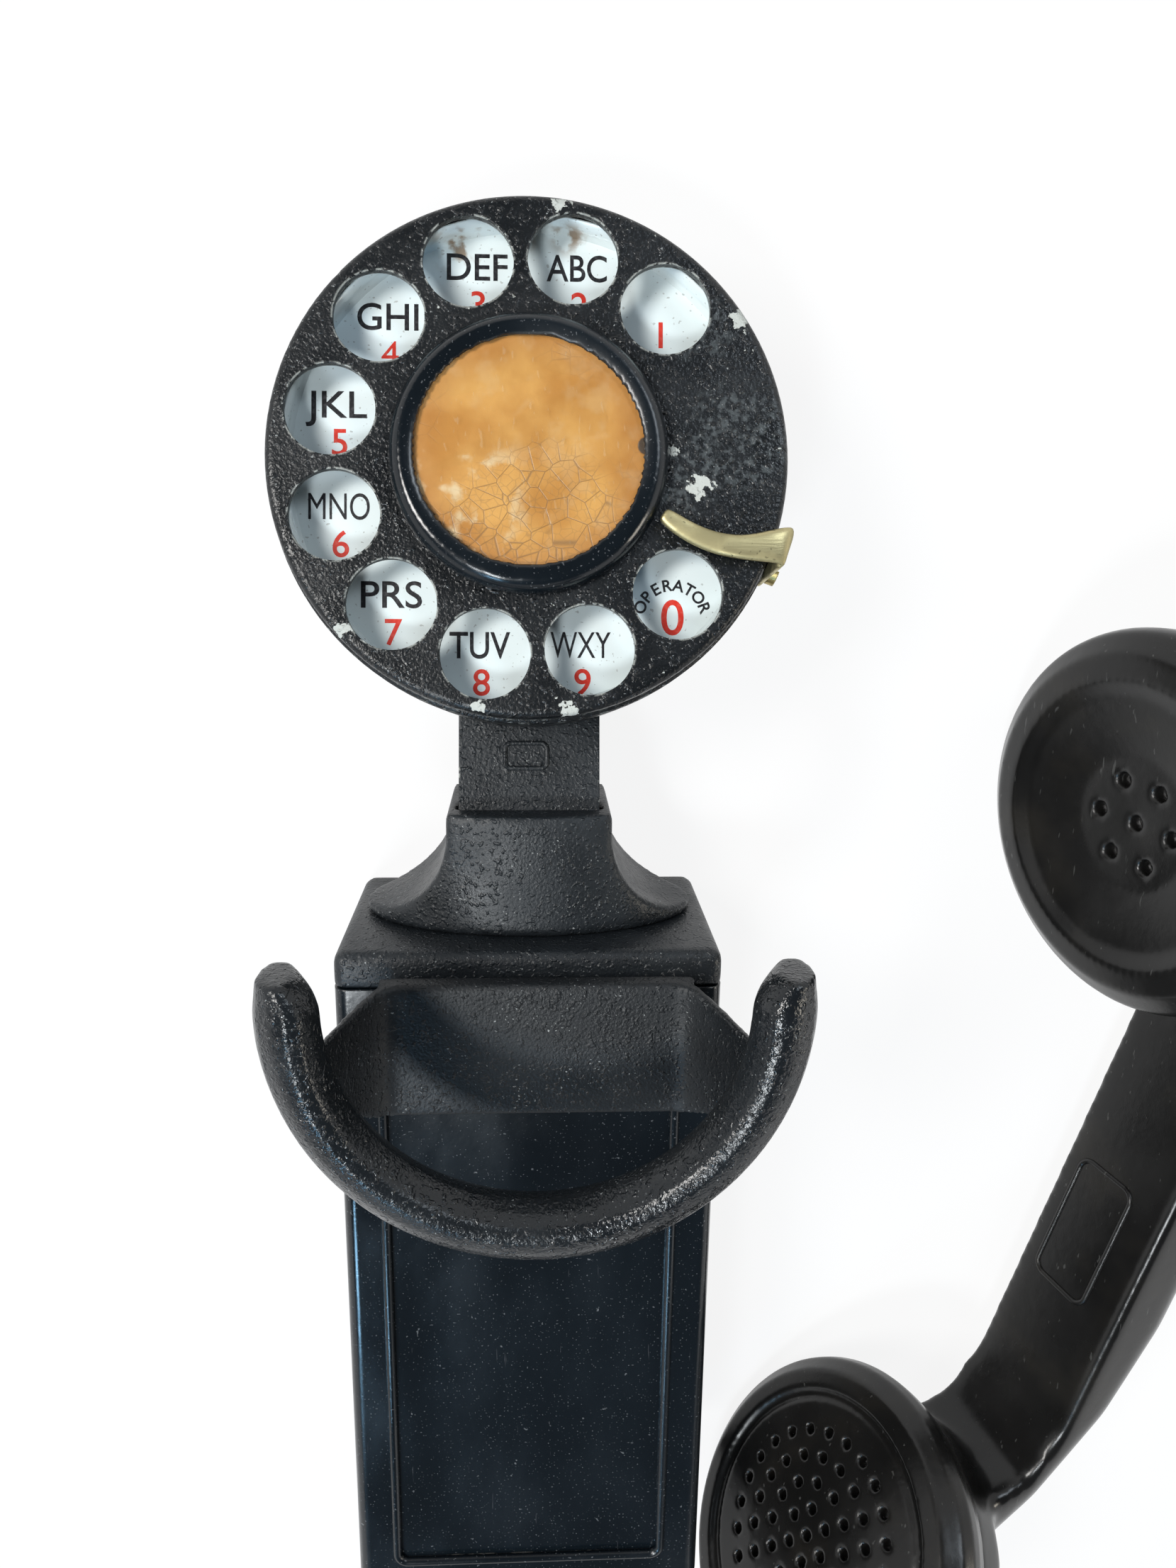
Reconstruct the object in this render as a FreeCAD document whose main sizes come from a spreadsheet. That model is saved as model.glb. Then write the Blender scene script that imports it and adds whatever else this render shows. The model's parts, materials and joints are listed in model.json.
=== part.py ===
import FreeCAD, Part
import math
import os
import Sketcher

# A narrow hang-up wall telephone with a dial on a pedestal and a separate handset, in millimetres.
# X is to the right, Y runs up towards the dial and Z comes out of the front.
# The telephone lies on its back, so Z = 0 is the back of its wall plate and also the table.

doc = FreeCAD.newDocument("telephone")
dims = doc.addObject("Spreadsheet::Sheet", "Dims")
Vector = FreeCAD.Vector
subparts = []


class Size:
    """A number together with the sheet formula that gives it."""

    def __init__(self, value, text):
        self.value = float(value)
        self.text = text

    def __add__(self, other):
        other = as_size(other)
        return Size(self.value + other.value, f"({self.text} + {other.text})")

    def __sub__(self, other):
        other = as_size(other)
        return Size(self.value - other.value, f"({self.text} - {other.text})")

    def __mul__(self, other):
        other = as_size(other)
        return Size(self.value * other.value, f"({self.text} * {other.text})")

    def __truediv__(self, other):
        other = as_size(other)
        return Size(self.value / other.value, f"({self.text} / {other.text})")

    def __neg__(self):
        return Size(-self.value, f"(0 - {self.text})")

    def __radd__(self, other):
        return as_size(other) + self

    def __rsub__(self, other):
        return as_size(other) - self

    def __rmul__(self, other):
        return as_size(other) * self


def as_size(number):
    if isinstance(number, Size):
        return number
    return Size(number, f"{float(number):.9g}" if number >= 0 else f"(0 - {-float(number):.9g})")


def sine(angle):
    return Size(math.sin(math.radians(angle.value)), f"sin({angle.text} * 1 deg)")


def cosine(angle):
    return Size(math.cos(math.radians(angle.value)), f"cos({angle.text} * 1 deg)")


def size(alias, number, note):
    """Put one driving dimension in the sheet."""
    row = size.row
    size.row += 1
    dims.set(f"A{row}", alias)
    dims.set(f"B{row}", str(number))
    dims.set(f"C{row}", note)
    dims.setAlias(f"B{row}", alias)
    return Size(number, f"Dims.{alias}")


size.row = 1

# Clearances and common stock
fit_gap = size("fit_gap", 0.05, "radial clearance of a shaft in its bearing or a screw in its hole")
slip_gap = size("slip_gap", 0.3, "clearance between neighbouring pieces that are not a fit")
sheet_metal = size("sheet_metal", 2.0, "thickness of brackets and frames bent from sheet")
leaf_metal = size("leaf_metal", 0.4, "thickness of contact leaf springs")

# Body
body_width = size("body_width", 63.5, "width of the body")
body_depth = size("body_depth", 39.0, "back of the wall plate to the front of the cover")
body_length = size("body_length", 129.0, "bottom of the cover to the top of the cap")
cover_wall = size("cover_wall", 2.0, "wall of the pressed cover")
cover_round = size("cover_round", 2.2, "outer edge radius of the cover")
cap_thickness = size("cap_thickness", 6.2, "thickness of the top cap")
cap_round = size("cap_round", 1.8, "edge radius of the top cap")
plate_thickness = size("plate_thickness", 2.5, "thickness of the wall plate")
plate_lug = size("plate_lug", 12.0, "height of the wall plate's bent lugs")
lug_width = size("lug_width", 44.0, "width of the wall plate's bent lugs")
lug_screw_pitch = size("lug_screw_pitch", 31.7, "distance between the screws of a lug")
lug_screw_out = size("lug_screw_out", 7.2, "screws of the lugs in front of the back")
panel_width = size("panel_width", 48.0, "width of the sunk front panel")
panel_margin = size("panel_margin", 8.0, "cover bottom to the sunk panel")
panel_height = size("panel_height", 88.0, "height of the sunk panel")
panel_sink = size("panel_sink", 0.6, "depth of the sunk panel")
wall_screw_pitch = size("wall_screw_pitch", 76.2, "pitch of the wall screw holes")
wall_screw_hole = size("wall_screw_hole", 4.8, "diameter of the wall screw holes")

# Cradle hook
swing_angle = size("swing_angle", 8.0, "travel of the cradle hook in degrees")
pivot_up = size("pivot_up", 50.0, "hook pivot above the middle of the body")
pivot_out = size("pivot_out", 20.0, "hook pivot in front of the back")
pivot_radius = size("pivot_radius", 2.0, "radius of the hook pivot pin")
boss_radius = size("boss_radius", 5.5, "radius of the hook's pivot boss")
stem_width = size("stem_width", 15.0, "width of the hook's stem")
stem_height = size("stem_height", 8.0, "height of the hook's stem")
hook_gap = size("hook_gap", 3.0, "cover's front to the back of the hook's bridge")
bridge_thickness = size("bridge_thickness", 4.0, "thickness of the hook's bridge")
bridge_width = size("bridge_width", 50.0, "width of the flat of the bridge")
bridge_bottom = size("bridge_bottom", 39.5, "lower edge of the bridge")
bridge_height = size("bridge_height", 22.5, "height of the bridge")
bow_middle = size("bow_middle", 69.4, "middle of the bow's half circle")
bow_inside = size("bow_inside", 28.8, "inside radius of the bow")
bow_width = size("bow_width", 9.3, "width of the bow's section")
bow_stand = size("bow_stand", 21.5, "back of the bridge to the back of the bow")
mouth_widening = size("mouth_widening", 1.8, "widening of the bow's inside towards its prongs")
bow_depth = size("bow_depth", 12.0, "back to front of the bow")
prong_length = size("prong_length", 6.6, "straight prongs above the half circle")
prong_slant = size("prong_slant", 17.0, "slant of the prongs' ends in degrees")
hook_side = size("hook_side", 1.3, "middle of the bow to the right of the body's middle")
tail_length = size("tail_length", 20.0, "length of the hook's switch tail")
tail_thickness = size("tail_thickness", 3.0, "thickness of the hook's switch tail")
tail_width = size("tail_width", 8.0, "width of the hook's switch tail")

# Switch pile and terminals
pile_bottom = size("pile_bottom", -10.0, "lower end of the switch pile")
pile_length = size("pile_length", 14.0, "length of the clamped end of the switch pile")
pile_width = size("pile_width", 10.0, "width of the switch pile's insulators")
pile_base = size("pile_base", 4.0, "thickness of the pile's base insulator")
pile_spacer = size("pile_spacer", 2.4, "thickness of the pile's spacers")
leaf_width = size("leaf_width", 6.0, "width of a contact leaf")
leaf_reach = size("leaf_reach", 41.0, "length of a contact leaf")
strip_length = size("strip_length", 46.0, "length of the terminal strip")
strip_width = size("strip_width", 12.0, "width of the terminal strip")
strip_height = size("strip_height", 7.0, "height of the terminal strip")
strip_bottom = size("strip_bottom", -44.0, "lower edge of the terminal strip")
terminal_pitch = size("terminal_pitch", 9.0, "pitch of the terminal screws")
screw_radius = size("screw_radius", 1.5, "shank radius of the assembly screws")
screw_head = size("screw_head", 2.8, "head radius of the assembly screws")
head_height = size("head_height", 1.6, "head height of the assembly screws")
cord_hole = size("cord_hole", 5.0, "hole of a cord grommet")
grommet_radius = size("grommet_radius", 4.2, "radius of a grommet in its wall")
grommet_flange = size("grommet_flange", 5.6, "radius of a grommet's flanges")
grommet_lip = size("grommet_lip", 1.6, "thickness of a grommet's flanges")
cord_pitch = size("cord_pitch", 20.0, "distance between the two cord holes of the body")
cord_out = size("cord_out", 22.0, "cord holes in front of the back")

# Pedestal and dial bracket
pedestal_width = size("pedestal_width", 57.8, "width of the pedestal's foot")
pedestal_depth = size("pedestal_depth", 32.6, "depth of the pedestal's foot")
pedestal_height = size("pedestal_height", 20.9, "height of the pedestal")
pedestal_neck = size("pedestal_neck", 27.6, "width of the pedestal's neck")
pedestal_flange = size("pedestal_flange", 2.0, "thickness of the pedestal's foot")
neck_back = size("neck_back", 9.0, "neck's back in front of the back of the body")
dial_up = size("dial_up", 141.9, "dial centre above the middle of the body")
dial_out = size("dial_out", 39.4, "dial centre in front of the back")
dial_tilt = size("dial_tilt", 14.0, "lean of the dial towards the top in degrees")
bracket_radius = size("bracket_radius", 32.0, "radius of the bracket's disc")
bracket_thickness = size("bracket_thickness", 4.0, "thickness of the dial bracket")
stem_strap = size("stem_strap", 23.6, "width of the bracket's strap")
strap_length = size("strap_length", 64.0, "dial centre to the lower end of the strap")

# Dial
wheel_radius = size("wheel_radius", 38.1, "radius of the finger wheel")
wheel_thickness = size("wheel_thickness", 1.2, "thickness of the finger wheel")
wheel_skirt = size("wheel_skirt", 3.0, "depth of the wheel's turned edge")
finger_rim = size("finger_rim", 2.1, "finger holes to the edge of the wheel")
finger_hole = size("finger_hole", 6.6, "radius of a finger hole")
finger_first = size("finger_first", 47.5, "angle of the first finger hole in degrees")
finger_step = size("finger_step", 30.0, "angle between finger holes in degrees")
ring_outside = size("ring_outside", 20.2, "outside radius of the card ring")
ring_inside = size("ring_inside", 16.9, "radius of the card ring's seat")
ring_height = size("ring_height", 3.6, "height of the card ring")
card_radius = size("card_radius", 16.7, "radius of the number card")
card_seat = size("card_seat", 1.6, "card plate in front of the wheel")
card_plate_metal = size("card_plate_metal", 0.4, "thickness of the card plate")
card_paper = size("card_paper", 0.3, "thickness of the number card")
window_thickness = size("window_thickness", 0.6, "thickness of the card window")
plate_eye = size("plate_eye", 10.0, "radius of the number plate's middle hole")
number_plate_back = size("number_plate_back", 7.6, "back of the number plate behind the wheel's face")
number_plate_metal = size("number_plate_metal", 1.1, "thickness of the number plate")
case_wall = size("case_wall", 1.4, "wall of the dial case at its mouth")
case_step = size("case_step", 1.5, "ledge of the dial case under its frame plate")
case_mouth = size("case_mouth", 4.2, "mouth of the dial case behind the wheel's face")
case_back = size("case_back", 26.0, "back of the dial case behind the wheel's face")
case_floor = size("case_floor", 1.5, "floor of the dial case")
case_bead = size("case_bead", 0.5, "height of the beads round the dial case")
shaft_radius = size("shaft_radius", 3.0, "radius of the dial shaft")
collar_radius = size("collar_radius", 5.5, "radius of the dial shaft's collar")
collar_height = size("collar_height", 1.8, "height of the dial shaft's collar")
nut_radius = size("nut_radius", 5.0, "radius of the wheel nut across its corners")
nut_height = size("nut_height", 1.4, "height of the wheel nut")
bridge_metal = size("bridge_metal", 1.5, "thickness of the rear bearing plate")
gear_module = size("gear_module", 0.5, "module of the dial's gears")
gear_thickness = size("gear_thickness", 1.5, "thickness of the dial's gears")
gear_backlash = size("gear_backlash", 0.12, "play between the flanks of the gears")
train_angle = size("train_angle", 150.0, "direction of the pulse arbor from the dial shaft in degrees")
arbor_radius = size("arbor_radius", 1.2, "radius of the pulse and governor arbors")
pulse_cam_radius = size("pulse_cam_radius", 4.4, "radius of the pulse cam")
drum_radius = size("drum_radius", 8.4, "outside radius of the governor drum")
drum_wall = size("drum_wall", 0.8, "wall of the governor drum")
drum_height = size("drum_height", 4.5, "height of the governor drum")
spring_turns = size("spring_turns", 6, "turns of the mainspring")
spring_metal = size("spring_metal", 0.5, "thickness of the mainspring")
spring_pitch = size("spring_pitch", 1.5, "distance between turns of the mainspring")
spring_width = size("spring_width", 3.5, "width of the mainspring")
stop_angle = size("stop_angle", -20.0, "direction of the finger stop from the dial centre in degrees")
stop_metal = size("stop_metal", 1.5, "thickness of the finger stop")
stop_width = size("stop_width", 7.4, "width of the finger stop's foot")
stop_finger = size("stop_finger", 3.2, "width of the finger stop's hook")
stop_reach = size("stop_reach", 5.9, "finger stop's tip inside the circle of finger holes")
stop_gap = size("stop_gap", 1.0, "finger stop above the wheel")
stop_foot = size("stop_foot", 16.0, "foot of the finger stop behind the wheel's face")

# Handset
grip_span = size("grip_span", 150.0, "receiver centre to transmitter centre")
cap_lean = size("cap_lean", 18.0, "lean of each cap towards the other in degrees")
ear_radius = size("ear_radius", 32.5, "radius of the receiver cap")
mouth_radius = size("mouth_radius", 33.0, "radius of the transmitter cap")
ear_dish = size("ear_dish", 22.9, "radius of the receiver cap's dish")
dish_depth = size("dish_depth", 4.2, "depth of the receiver cap's dish")
grille_radius = size("grille_radius", 24.4, "radius of the transmitter cap's grille")
earcap_depth = size("earcap_depth", 14.0, "depth of the caps")
shell_wall = size("shell_wall", 3.0, "wall of the handset's moulded pieces")
cup_radius = size("cup_radius", 29.0, "outside radius of the handle's cups")
cup_depth = size("cup_depth", 17.0, "depth of the handle's cups behind their caps")
unit_thickness = size("unit_thickness", 12.0, "thickness of the receiver and transmitter units")
sound_hole = size("sound_hole", 1.3, "radius of the receiver's sound holes")
sound_circle = size("sound_circle", 7.5, "radius of the circle of sound holes")
grille_hole = size("grille_hole", 1.0, "radius of the transmitter's holes")
grille_pitch = size("grille_pitch", 4.6, "radial pitch of the transmitter's rings of holes")
grip_back = size("grip_back", 41.0, "front of the handle behind the line of the caps")
grip_thickness = size("grip_thickness", 18.5, "thickness of the handle")
grip_width = size("grip_width", 25.0, "width of the handle")
grip_round = size("grip_round", 8.0, "edge radius of the handle's back")
grip_edge = size("grip_edge", 1.5, "edge radius of the handle's front")
wire_bore = size("wire_bore", 2.5, "radius of the wire passage in the handle")
handset_right = size("handset_right", 75.3, "middle of the handset to the right of the body's middle")
handset_up = size("handset_up", 12.6, "middle of the handset above the body's middle")
handset_out = size("handset_out", 34.2, "middle of the caps' line above the table")
handset_turn = size("handset_turn", 17.0, "turn of the handset on the table in degrees")
handset_roll = size("handset_roll", 20.0, "roll of the caps up from the table in degrees")

doc.recompute()

# Values worked out from the driving dimensions
half_width = body_width / 2
body_bottom = -(body_length / 2)
cap_bottom = body_length / 2 - cap_thickness
bridge_out = body_depth + hook_gap
bow_out = bridge_out + bow_stand
finger_circle = wheel_radius - finger_rim - finger_hole
stop_tip = finger_circle - stop_reach
case_radius = wheel_radius
case_inside = case_radius - case_wall
plate_radius = case_inside - slip_gap
ledge_inside = case_inside - case_step
frame_front = -number_plate_back
frame_back = frame_front - sheet_metal
rear_plate_back = -(case_back - case_floor)
rear_plate_front = rear_plate_back + bridge_metal
main_teeth = 80
pinion_teeth = 14
pulse_teeth = 36
governor_teeth = 12
gear_top = frame_back - 1.4
second_gear_top = gear_top - gear_thickness - 1.5
pulse_distance = gear_module * ((main_teeth + pinion_teeth) / 2)
governor_distance = gear_module * ((pulse_teeth + governor_teeth) / 2)


# Tools for drawing

def bind(thing, field, number):
    number = as_size(number)
    thing.setExpression(field, number.text)


def vector_text(place):
    return "vector(" + "; ".join(as_size(part).text for part in place) + ")"


def frame_text(place, turns):
    """A placement formula: a shift, then turns about fixed axes, outermost first."""
    text = f"placement({vector_text(place)}; rotation(vector(0; 0; 1); 0))"
    for axis, angle in turns:
        turn = f"rotation(vector({axis[0]}; {axis[1]}; {axis[2]}); {as_size(angle).text})"
        text += f" * placement(vector(0; 0; 0); {turn})"
    return text


def place(thing, position=(0, 0, 0), turns=(), frame=None):
    text = frame_text(position, turns)
    if frame:
        text = f"{frame} * {text}"
    thing.setExpression("Placement", text)
    return thing


X_AXIS = (1, 0, 0)
Y_AXIS = (0, 1, 0)
Z_AXIS = (0, 0, 1)
ALONG = {"z": (), "x": ((Y_AXIS, 90),), "y": ((X_AXIS, -90),), "down": ((X_AXIS, 180),)}


def cylinder(radius, height, position=(0, 0, 0), along="z"):
    thing = doc.addObject("Part::Cylinder", "cylinder")
    bind(thing, "Radius", radius)
    bind(thing, "Height", height)
    return place(thing, position, ALONG[along])


def box(length, width, height, position=(0, 0, 0)):
    thing = doc.addObject("Part::Box", "box")
    bind(thing, "Length", length)
    bind(thing, "Width", width)
    bind(thing, "Height", height)
    return place(thing, position)


def fuse(*pieces):
    thing = doc.addObject("Part::MultiFuse", "fuse")
    thing.Shapes = list(pieces)
    return thing


def group(*pieces):
    thing = doc.addObject("Part::Compound", "group")
    thing.Links = list(pieces)
    return thing


def cut(base, *tools):
    thing = doc.addObject("Part::Cut", "cut")
    thing.Base = base
    thing.Tool = tools[0] if len(tools) == 1 else fuse(*tools)
    return thing


def common(first, second):
    thing = doc.addObject("Part::Common", "common")
    thing.Base = first
    thing.Tool = second
    return thing


def subpart(name, thing, frame=None):
    """Give a finished piece its name and its place."""
    if frame:
        thing.setExpression("Placement", frame)
    thing.Label = name
    subparts.append(thing)
    return thing


def new_body(name):
    return doc.addObject("PartDesign::Body", name)


def origin_plane(body, role):
    for feature in body.Origin.OriginFeatures:
        if feature.Role == role:
            return feature
    raise ValueError(role)


def outline(body, role, points):
    """A closed sketch; a point may carry the radius and side of the arc that leaves it."""
    sketch = body.newObject("Sketcher::SketchObject", "outline")
    sketch.AttachmentSupport = [(origin_plane(body, role), "")]
    sketch.MapMode = "FlatFace"
    corners = [(as_size(point[0]), as_size(point[1])) for point in points]
    ends = []
    for index, point in enumerate(points):
        start = Vector(corners[index][0].value, corners[index][1].value, 0)
        after = corners[(index + 1) % len(corners)]
        finish = Vector(after[0].value, after[1].value, 0)
        if len(point) == 2:
            sketch.addGeometry(Part.LineSegment(start, finish), False)
            ends.append((1, 2))
        else:
            ends.append(add_arc(sketch, start, finish, as_size(point[2]), point[3]))
    for index in range(len(points)):
        follower = (index + 1) % len(points)
        sketch.addConstraint(
            Sketcher.Constraint("Coincident", index, ends[index][1], follower, ends[follower][0]))
    for index, corner in enumerate(corners):
        for kind, number in zip(("DistanceX", "DistanceY"), corner):
            made = sketch.addConstraint(
                Sketcher.Constraint(kind, -1, 1, index, ends[index][0], number.value))
            sketch.setExpression(f"Constraints[{made}]", number.text)
        if len(points[index]) > 2:
            radius = as_size(points[index][2])
            made = sketch.addConstraint(Sketcher.Constraint("Radius", index, radius.value))
            sketch.setExpression(f"Constraints[{made}]", radius.text)
    return sketch


def add_arc(sketch, start, finish, radius, side):
    """An arc that bulges to the left (side 1) or right (side -1) of its direction."""
    chord = finish.sub(start)
    half = chord.Length / 2
    left = Vector(-chord.y, chord.x, 0).normalize()
    rise = math.sqrt(max(radius.value ** 2 - half ** 2, 0))
    centre = start.add(finish).multiply(0.5).sub(left.multiply(side * rise))
    angles = [math.atan2(point.y - centre.y, point.x - centre.x) for point in (start, finish)]
    circle = Part.Circle(centre, Vector(0, 0, 1), radius.value)
    if side > 0:
        sketch.addGeometry(Part.ArcOfCircle(circle, angles[1], angles[0]), False)
        return (2, 1)
    sketch.addGeometry(Part.ArcOfCircle(circle, angles[0], angles[1]), False)
    return (1, 2)


def pad(name, role, points, length, backwards=False, both_ways=False):
    body = new_body(name)
    feature = body.newObject("PartDesign::Pad", "pad")
    feature.Profile = outline(body, role, points)
    bind(feature, "Length", length)
    feature.Midplane = both_ways
    feature.Reversed = backwards
    return body


def turned(name, points, angle=None, backwards=False):
    """A piece turned about its own Z axis from an outline of radius and height."""
    body = new_body(name)
    feature = body.newObject("PartDesign::Revolution", "turning")
    sketch = outline(body, "XZ_Plane", points)
    feature.Profile = sketch
    feature.ReferenceAxis = (sketch, ["V_Axis"])
    feature.Reversed = backwards
    bind(feature, "Angle", 360 if angle is None else angle)
    return body


def add_fillet(body, chosen, radius):
    """Round the edges of a body that a test picks."""
    doc.recompute()
    base = body.Tip
    names = [f"Edge{number + 1}" for number, edge in enumerate(base.Shape.Edges) if chosen(edge)]
    feature = body.newObject("PartDesign::Fillet", "rounding")
    feature.Base = (base, names)
    bind(feature, "Radius", radius)
    return body


def hole_ring(body, radius, reach, position, count, span, first_angle):
    """Round holes through a body along Z, repeated about its Z axis."""
    doc.recompute()
    sketch = body.newObject("Sketcher::SketchObject", "hole")
    sketch.AttachmentSupport = [(origin_plane(body, "XY_Plane"), "")]
    sketch.MapMode = "FlatFace"
    across = as_size(position) * cosine(first_angle)
    upward = as_size(position) * sine(first_angle)
    radius = as_size(radius)
    middle = Vector(across.value, upward.value, 0)
    sketch.addGeometry(Part.Circle(middle, Vector(0, 0, 1), radius.value), False)
    rows = (("DistanceX", across), ("DistanceY", upward))
    for kind, number in rows:
        made = sketch.addConstraint(Sketcher.Constraint(kind, -1, 1, 0, 3, number.value))
        sketch.setExpression(f"Constraints[{made}]", number.text)
    made = sketch.addConstraint(Sketcher.Constraint("Radius", 0, radius.value))
    sketch.setExpression(f"Constraints[{made}]", radius.text)
    pocket = body.newObject("PartDesign::Pocket", "drilling")
    pocket.Profile = sketch
    pocket.Midplane = True
    bind(pocket, "Length", reach)
    doc.recompute()
    if count == 1:
        return body
    pattern = body.newObject("PartDesign::PolarPattern", "holes")
    pattern.Originals = [pocket]
    pattern.Axis = (origin_plane(body, "Z_Axis"), [""])
    bind(pattern, "Angle", span)
    pattern.Occurrences = count
    body.Tip = pattern
    return body


def screw(position, along, grip, head=None, shank=None):
    """A slotted screw whose head stands on the given point, shank pointing along the axis."""
    head = head or screw_head
    shank = shank or screw_radius
    slot_width = shank * 0.5
    slot_depth = head_height * 0.5
    top = cylinder(head, head_height, (0, 0, -head_height))
    rod = cylinder(shank, grip)
    slot = box(head * 3, slot_width, slot_depth, (head * -1.5, slot_width * -0.5, -head_height))
    return place(cut(fuse(top, rod), slot), position, ALONG[along])


# Frames of the dial and of the handset

dial_frame = frame_text((0, dial_up, dial_out), ((X_AXIS, -dial_tilt),))
handset_frame = frame_text(
    (handset_right, handset_up, handset_out),
    ((Z_AXIS, -handset_turn), (Y_AXIS, handset_roll - 90)))


# Body

def make_wall_plate():
    inside_half = half_width - cover_wall - slip_gap
    bottom = body_bottom + cover_wall + slip_gap
    flat = box(inside_half * 2, cap_bottom - bottom, plate_thickness, (-inside_half, bottom, 0))
    low_lug = box(lug_width, sheet_metal, plate_lug, (lug_width * -0.5, bottom, 0))
    high_lug = box(lug_width, sheet_metal, plate_lug,
                   (lug_width * -0.5, cap_bottom - sheet_metal, 0))
    holes = [cylinder(wall_screw_hole / 2, plate_thickness * 3, (0, wall_screw_pitch * side, -plate_thickness))
             for side in (-0.5, 0.5)]
    for x in (-0.5, 0.5):
        for y in (bottom - 1, cap_bottom - sheet_metal - 1):
            holes.append(cylinder(screw_radius + fit_gap, sheet_metal + 2,
                                  (lug_screw_pitch * x, y, lug_screw_out), "y"))
    for x, y in frame_screw_places():
        holes.append(cylinder(screw_radius + fit_gap, plate_thickness * 3, (x, y, -plate_thickness)))
    for y in pile_screw_places():
        holes.append(cylinder(screw_radius * 0.6 + fit_gap, plate_thickness * 3, (0, y, -plate_thickness)))
    for x in strip_screw_places():
        holes.append(cylinder(screw_radius + fit_gap, plate_thickness * 3,
                              (x, strip_bottom + strip_width / 2, -plate_thickness)))
    subpart("wall_plate", cut(fuse(flat, low_lug, high_lug), *holes))


def make_cover():
    top = cap_bottom
    shell = pad("cover_shell", "XY_Plane",
                [(-half_width, body_bottom), (half_width, body_bottom), (half_width, top),
                 (-half_width, top)], body_depth)
    front = body_depth.value

    def outer_edge(edge):
        box_of_edge = edge.BoundBox
        if box_of_edge.YMin > top.value - 0.01:
            return False
        return box_of_edge.ZMax > front - 0.01

    add_fillet(shell, outer_edge, cover_round)
    hollow = box((half_width - cover_wall) * 2, body_length, body_depth - cover_wall - panel_sink,
                 (cover_wall - half_width, body_bottom + cover_wall, 0))
    panel = box(panel_width, panel_height, panel_sink * 2,
                (panel_width * -0.5, body_bottom + panel_margin, body_depth - panel_sink))
    slot_low = pivot_up - stem_height / 2 - (body_depth - pivot_out) * sine(swing_angle) - slip_gap * 2
    slot_high = pivot_up + stem_height / 2 + slip_gap * 2
    slot = box(stem_width + slip_gap * 4, slot_high - slot_low, body_depth,
               ((stem_width + slip_gap * 4) * -0.5, slot_low, body_depth * 0.5))
    tools = [hollow, panel, slot]
    for x in (-0.5, 0.5):
        tools.append(cylinder(screw_radius + fit_gap, cover_wall * 3,
                              (lug_screw_pitch * x, body_bottom - cover_wall, lug_screw_out), "y"))
    for side in (-0.5, 0.5):
        tools.append(cylinder(grommet_radius, cover_wall * 3,
                              (cord_pitch * side, body_bottom - cover_wall, cord_out), "y"))
    subpart("front_cover", cut(shell, *tools))


def make_cover_screws():
    screws = [screw((lug_screw_pitch * x, body_bottom, lug_screw_out), "y", cover_wall + slip_gap + sheet_metal)
              for x in (-0.5, 0.5)]
    subpart("cover_screws", group(*screws))


def make_grommets():
    height = cover_wall + grommet_lip * 2
    lip = grommet_lip
    rings = []
    for side in (-0.5, 0.5):
        ring = turned("grommet", [
            (cord_hole / 2, 0), (grommet_flange, 0), (grommet_flange, lip), (grommet_radius - fit_gap, lip),
            (grommet_radius - fit_gap, height - lip), (grommet_flange, height - lip),
            (grommet_flange, height), (cord_hole / 2, height)])
        rings.append(place(ring, (cord_pitch * side, body_bottom - lip, cord_out), ALONG["y"]))
    subpart("cord_grommets", group(*rings))


def make_top_cap():
    block = pad("cap_block", "XY_Plane",
                [(-half_width, cap_bottom), (half_width, cap_bottom), (half_width, body_length / 2),
                 (-half_width, body_length / 2)], body_depth)
    top = (body_length / 2).value
    bottom = cap_bottom.value

    def upper_edge(edge):
        middle = edge.BoundBox
        on_top = middle.YMin > top - 0.01
        upright = middle.YMin < bottom + 0.01 and middle.YMax > top - 0.01
        return (on_top or upright) and middle.ZMax > 0.01

    add_fillet(block, upper_edge, cap_round)
    tools = []
    for x in (-0.5, 0.5):
        tools.append(cylinder(screw_radius + fit_gap, cap_thickness * 0.7,
                              (lug_screw_pitch * x, cap_bottom, lug_screw_out), "y"))
    for x in (-1, 1):
        tools.append(cylinder(screw_radius + fit_gap, cap_thickness * 2,
                              (pedestal_screw_place()[0] * x, cap_bottom - 1, pedestal_screw_place()[1]), "y"))
    subpart("top_cap", cut(block, *tools))


def make_cap_screws():
    screws = [screw((lug_screw_pitch * x, cap_bottom - sheet_metal, lug_screw_out), "y",
                    sheet_metal + cap_thickness * 0.6) for x in (-0.5, 0.5)]
    subpart("cap_screws", group(*screws))


# Cradle hook and its switch

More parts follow.
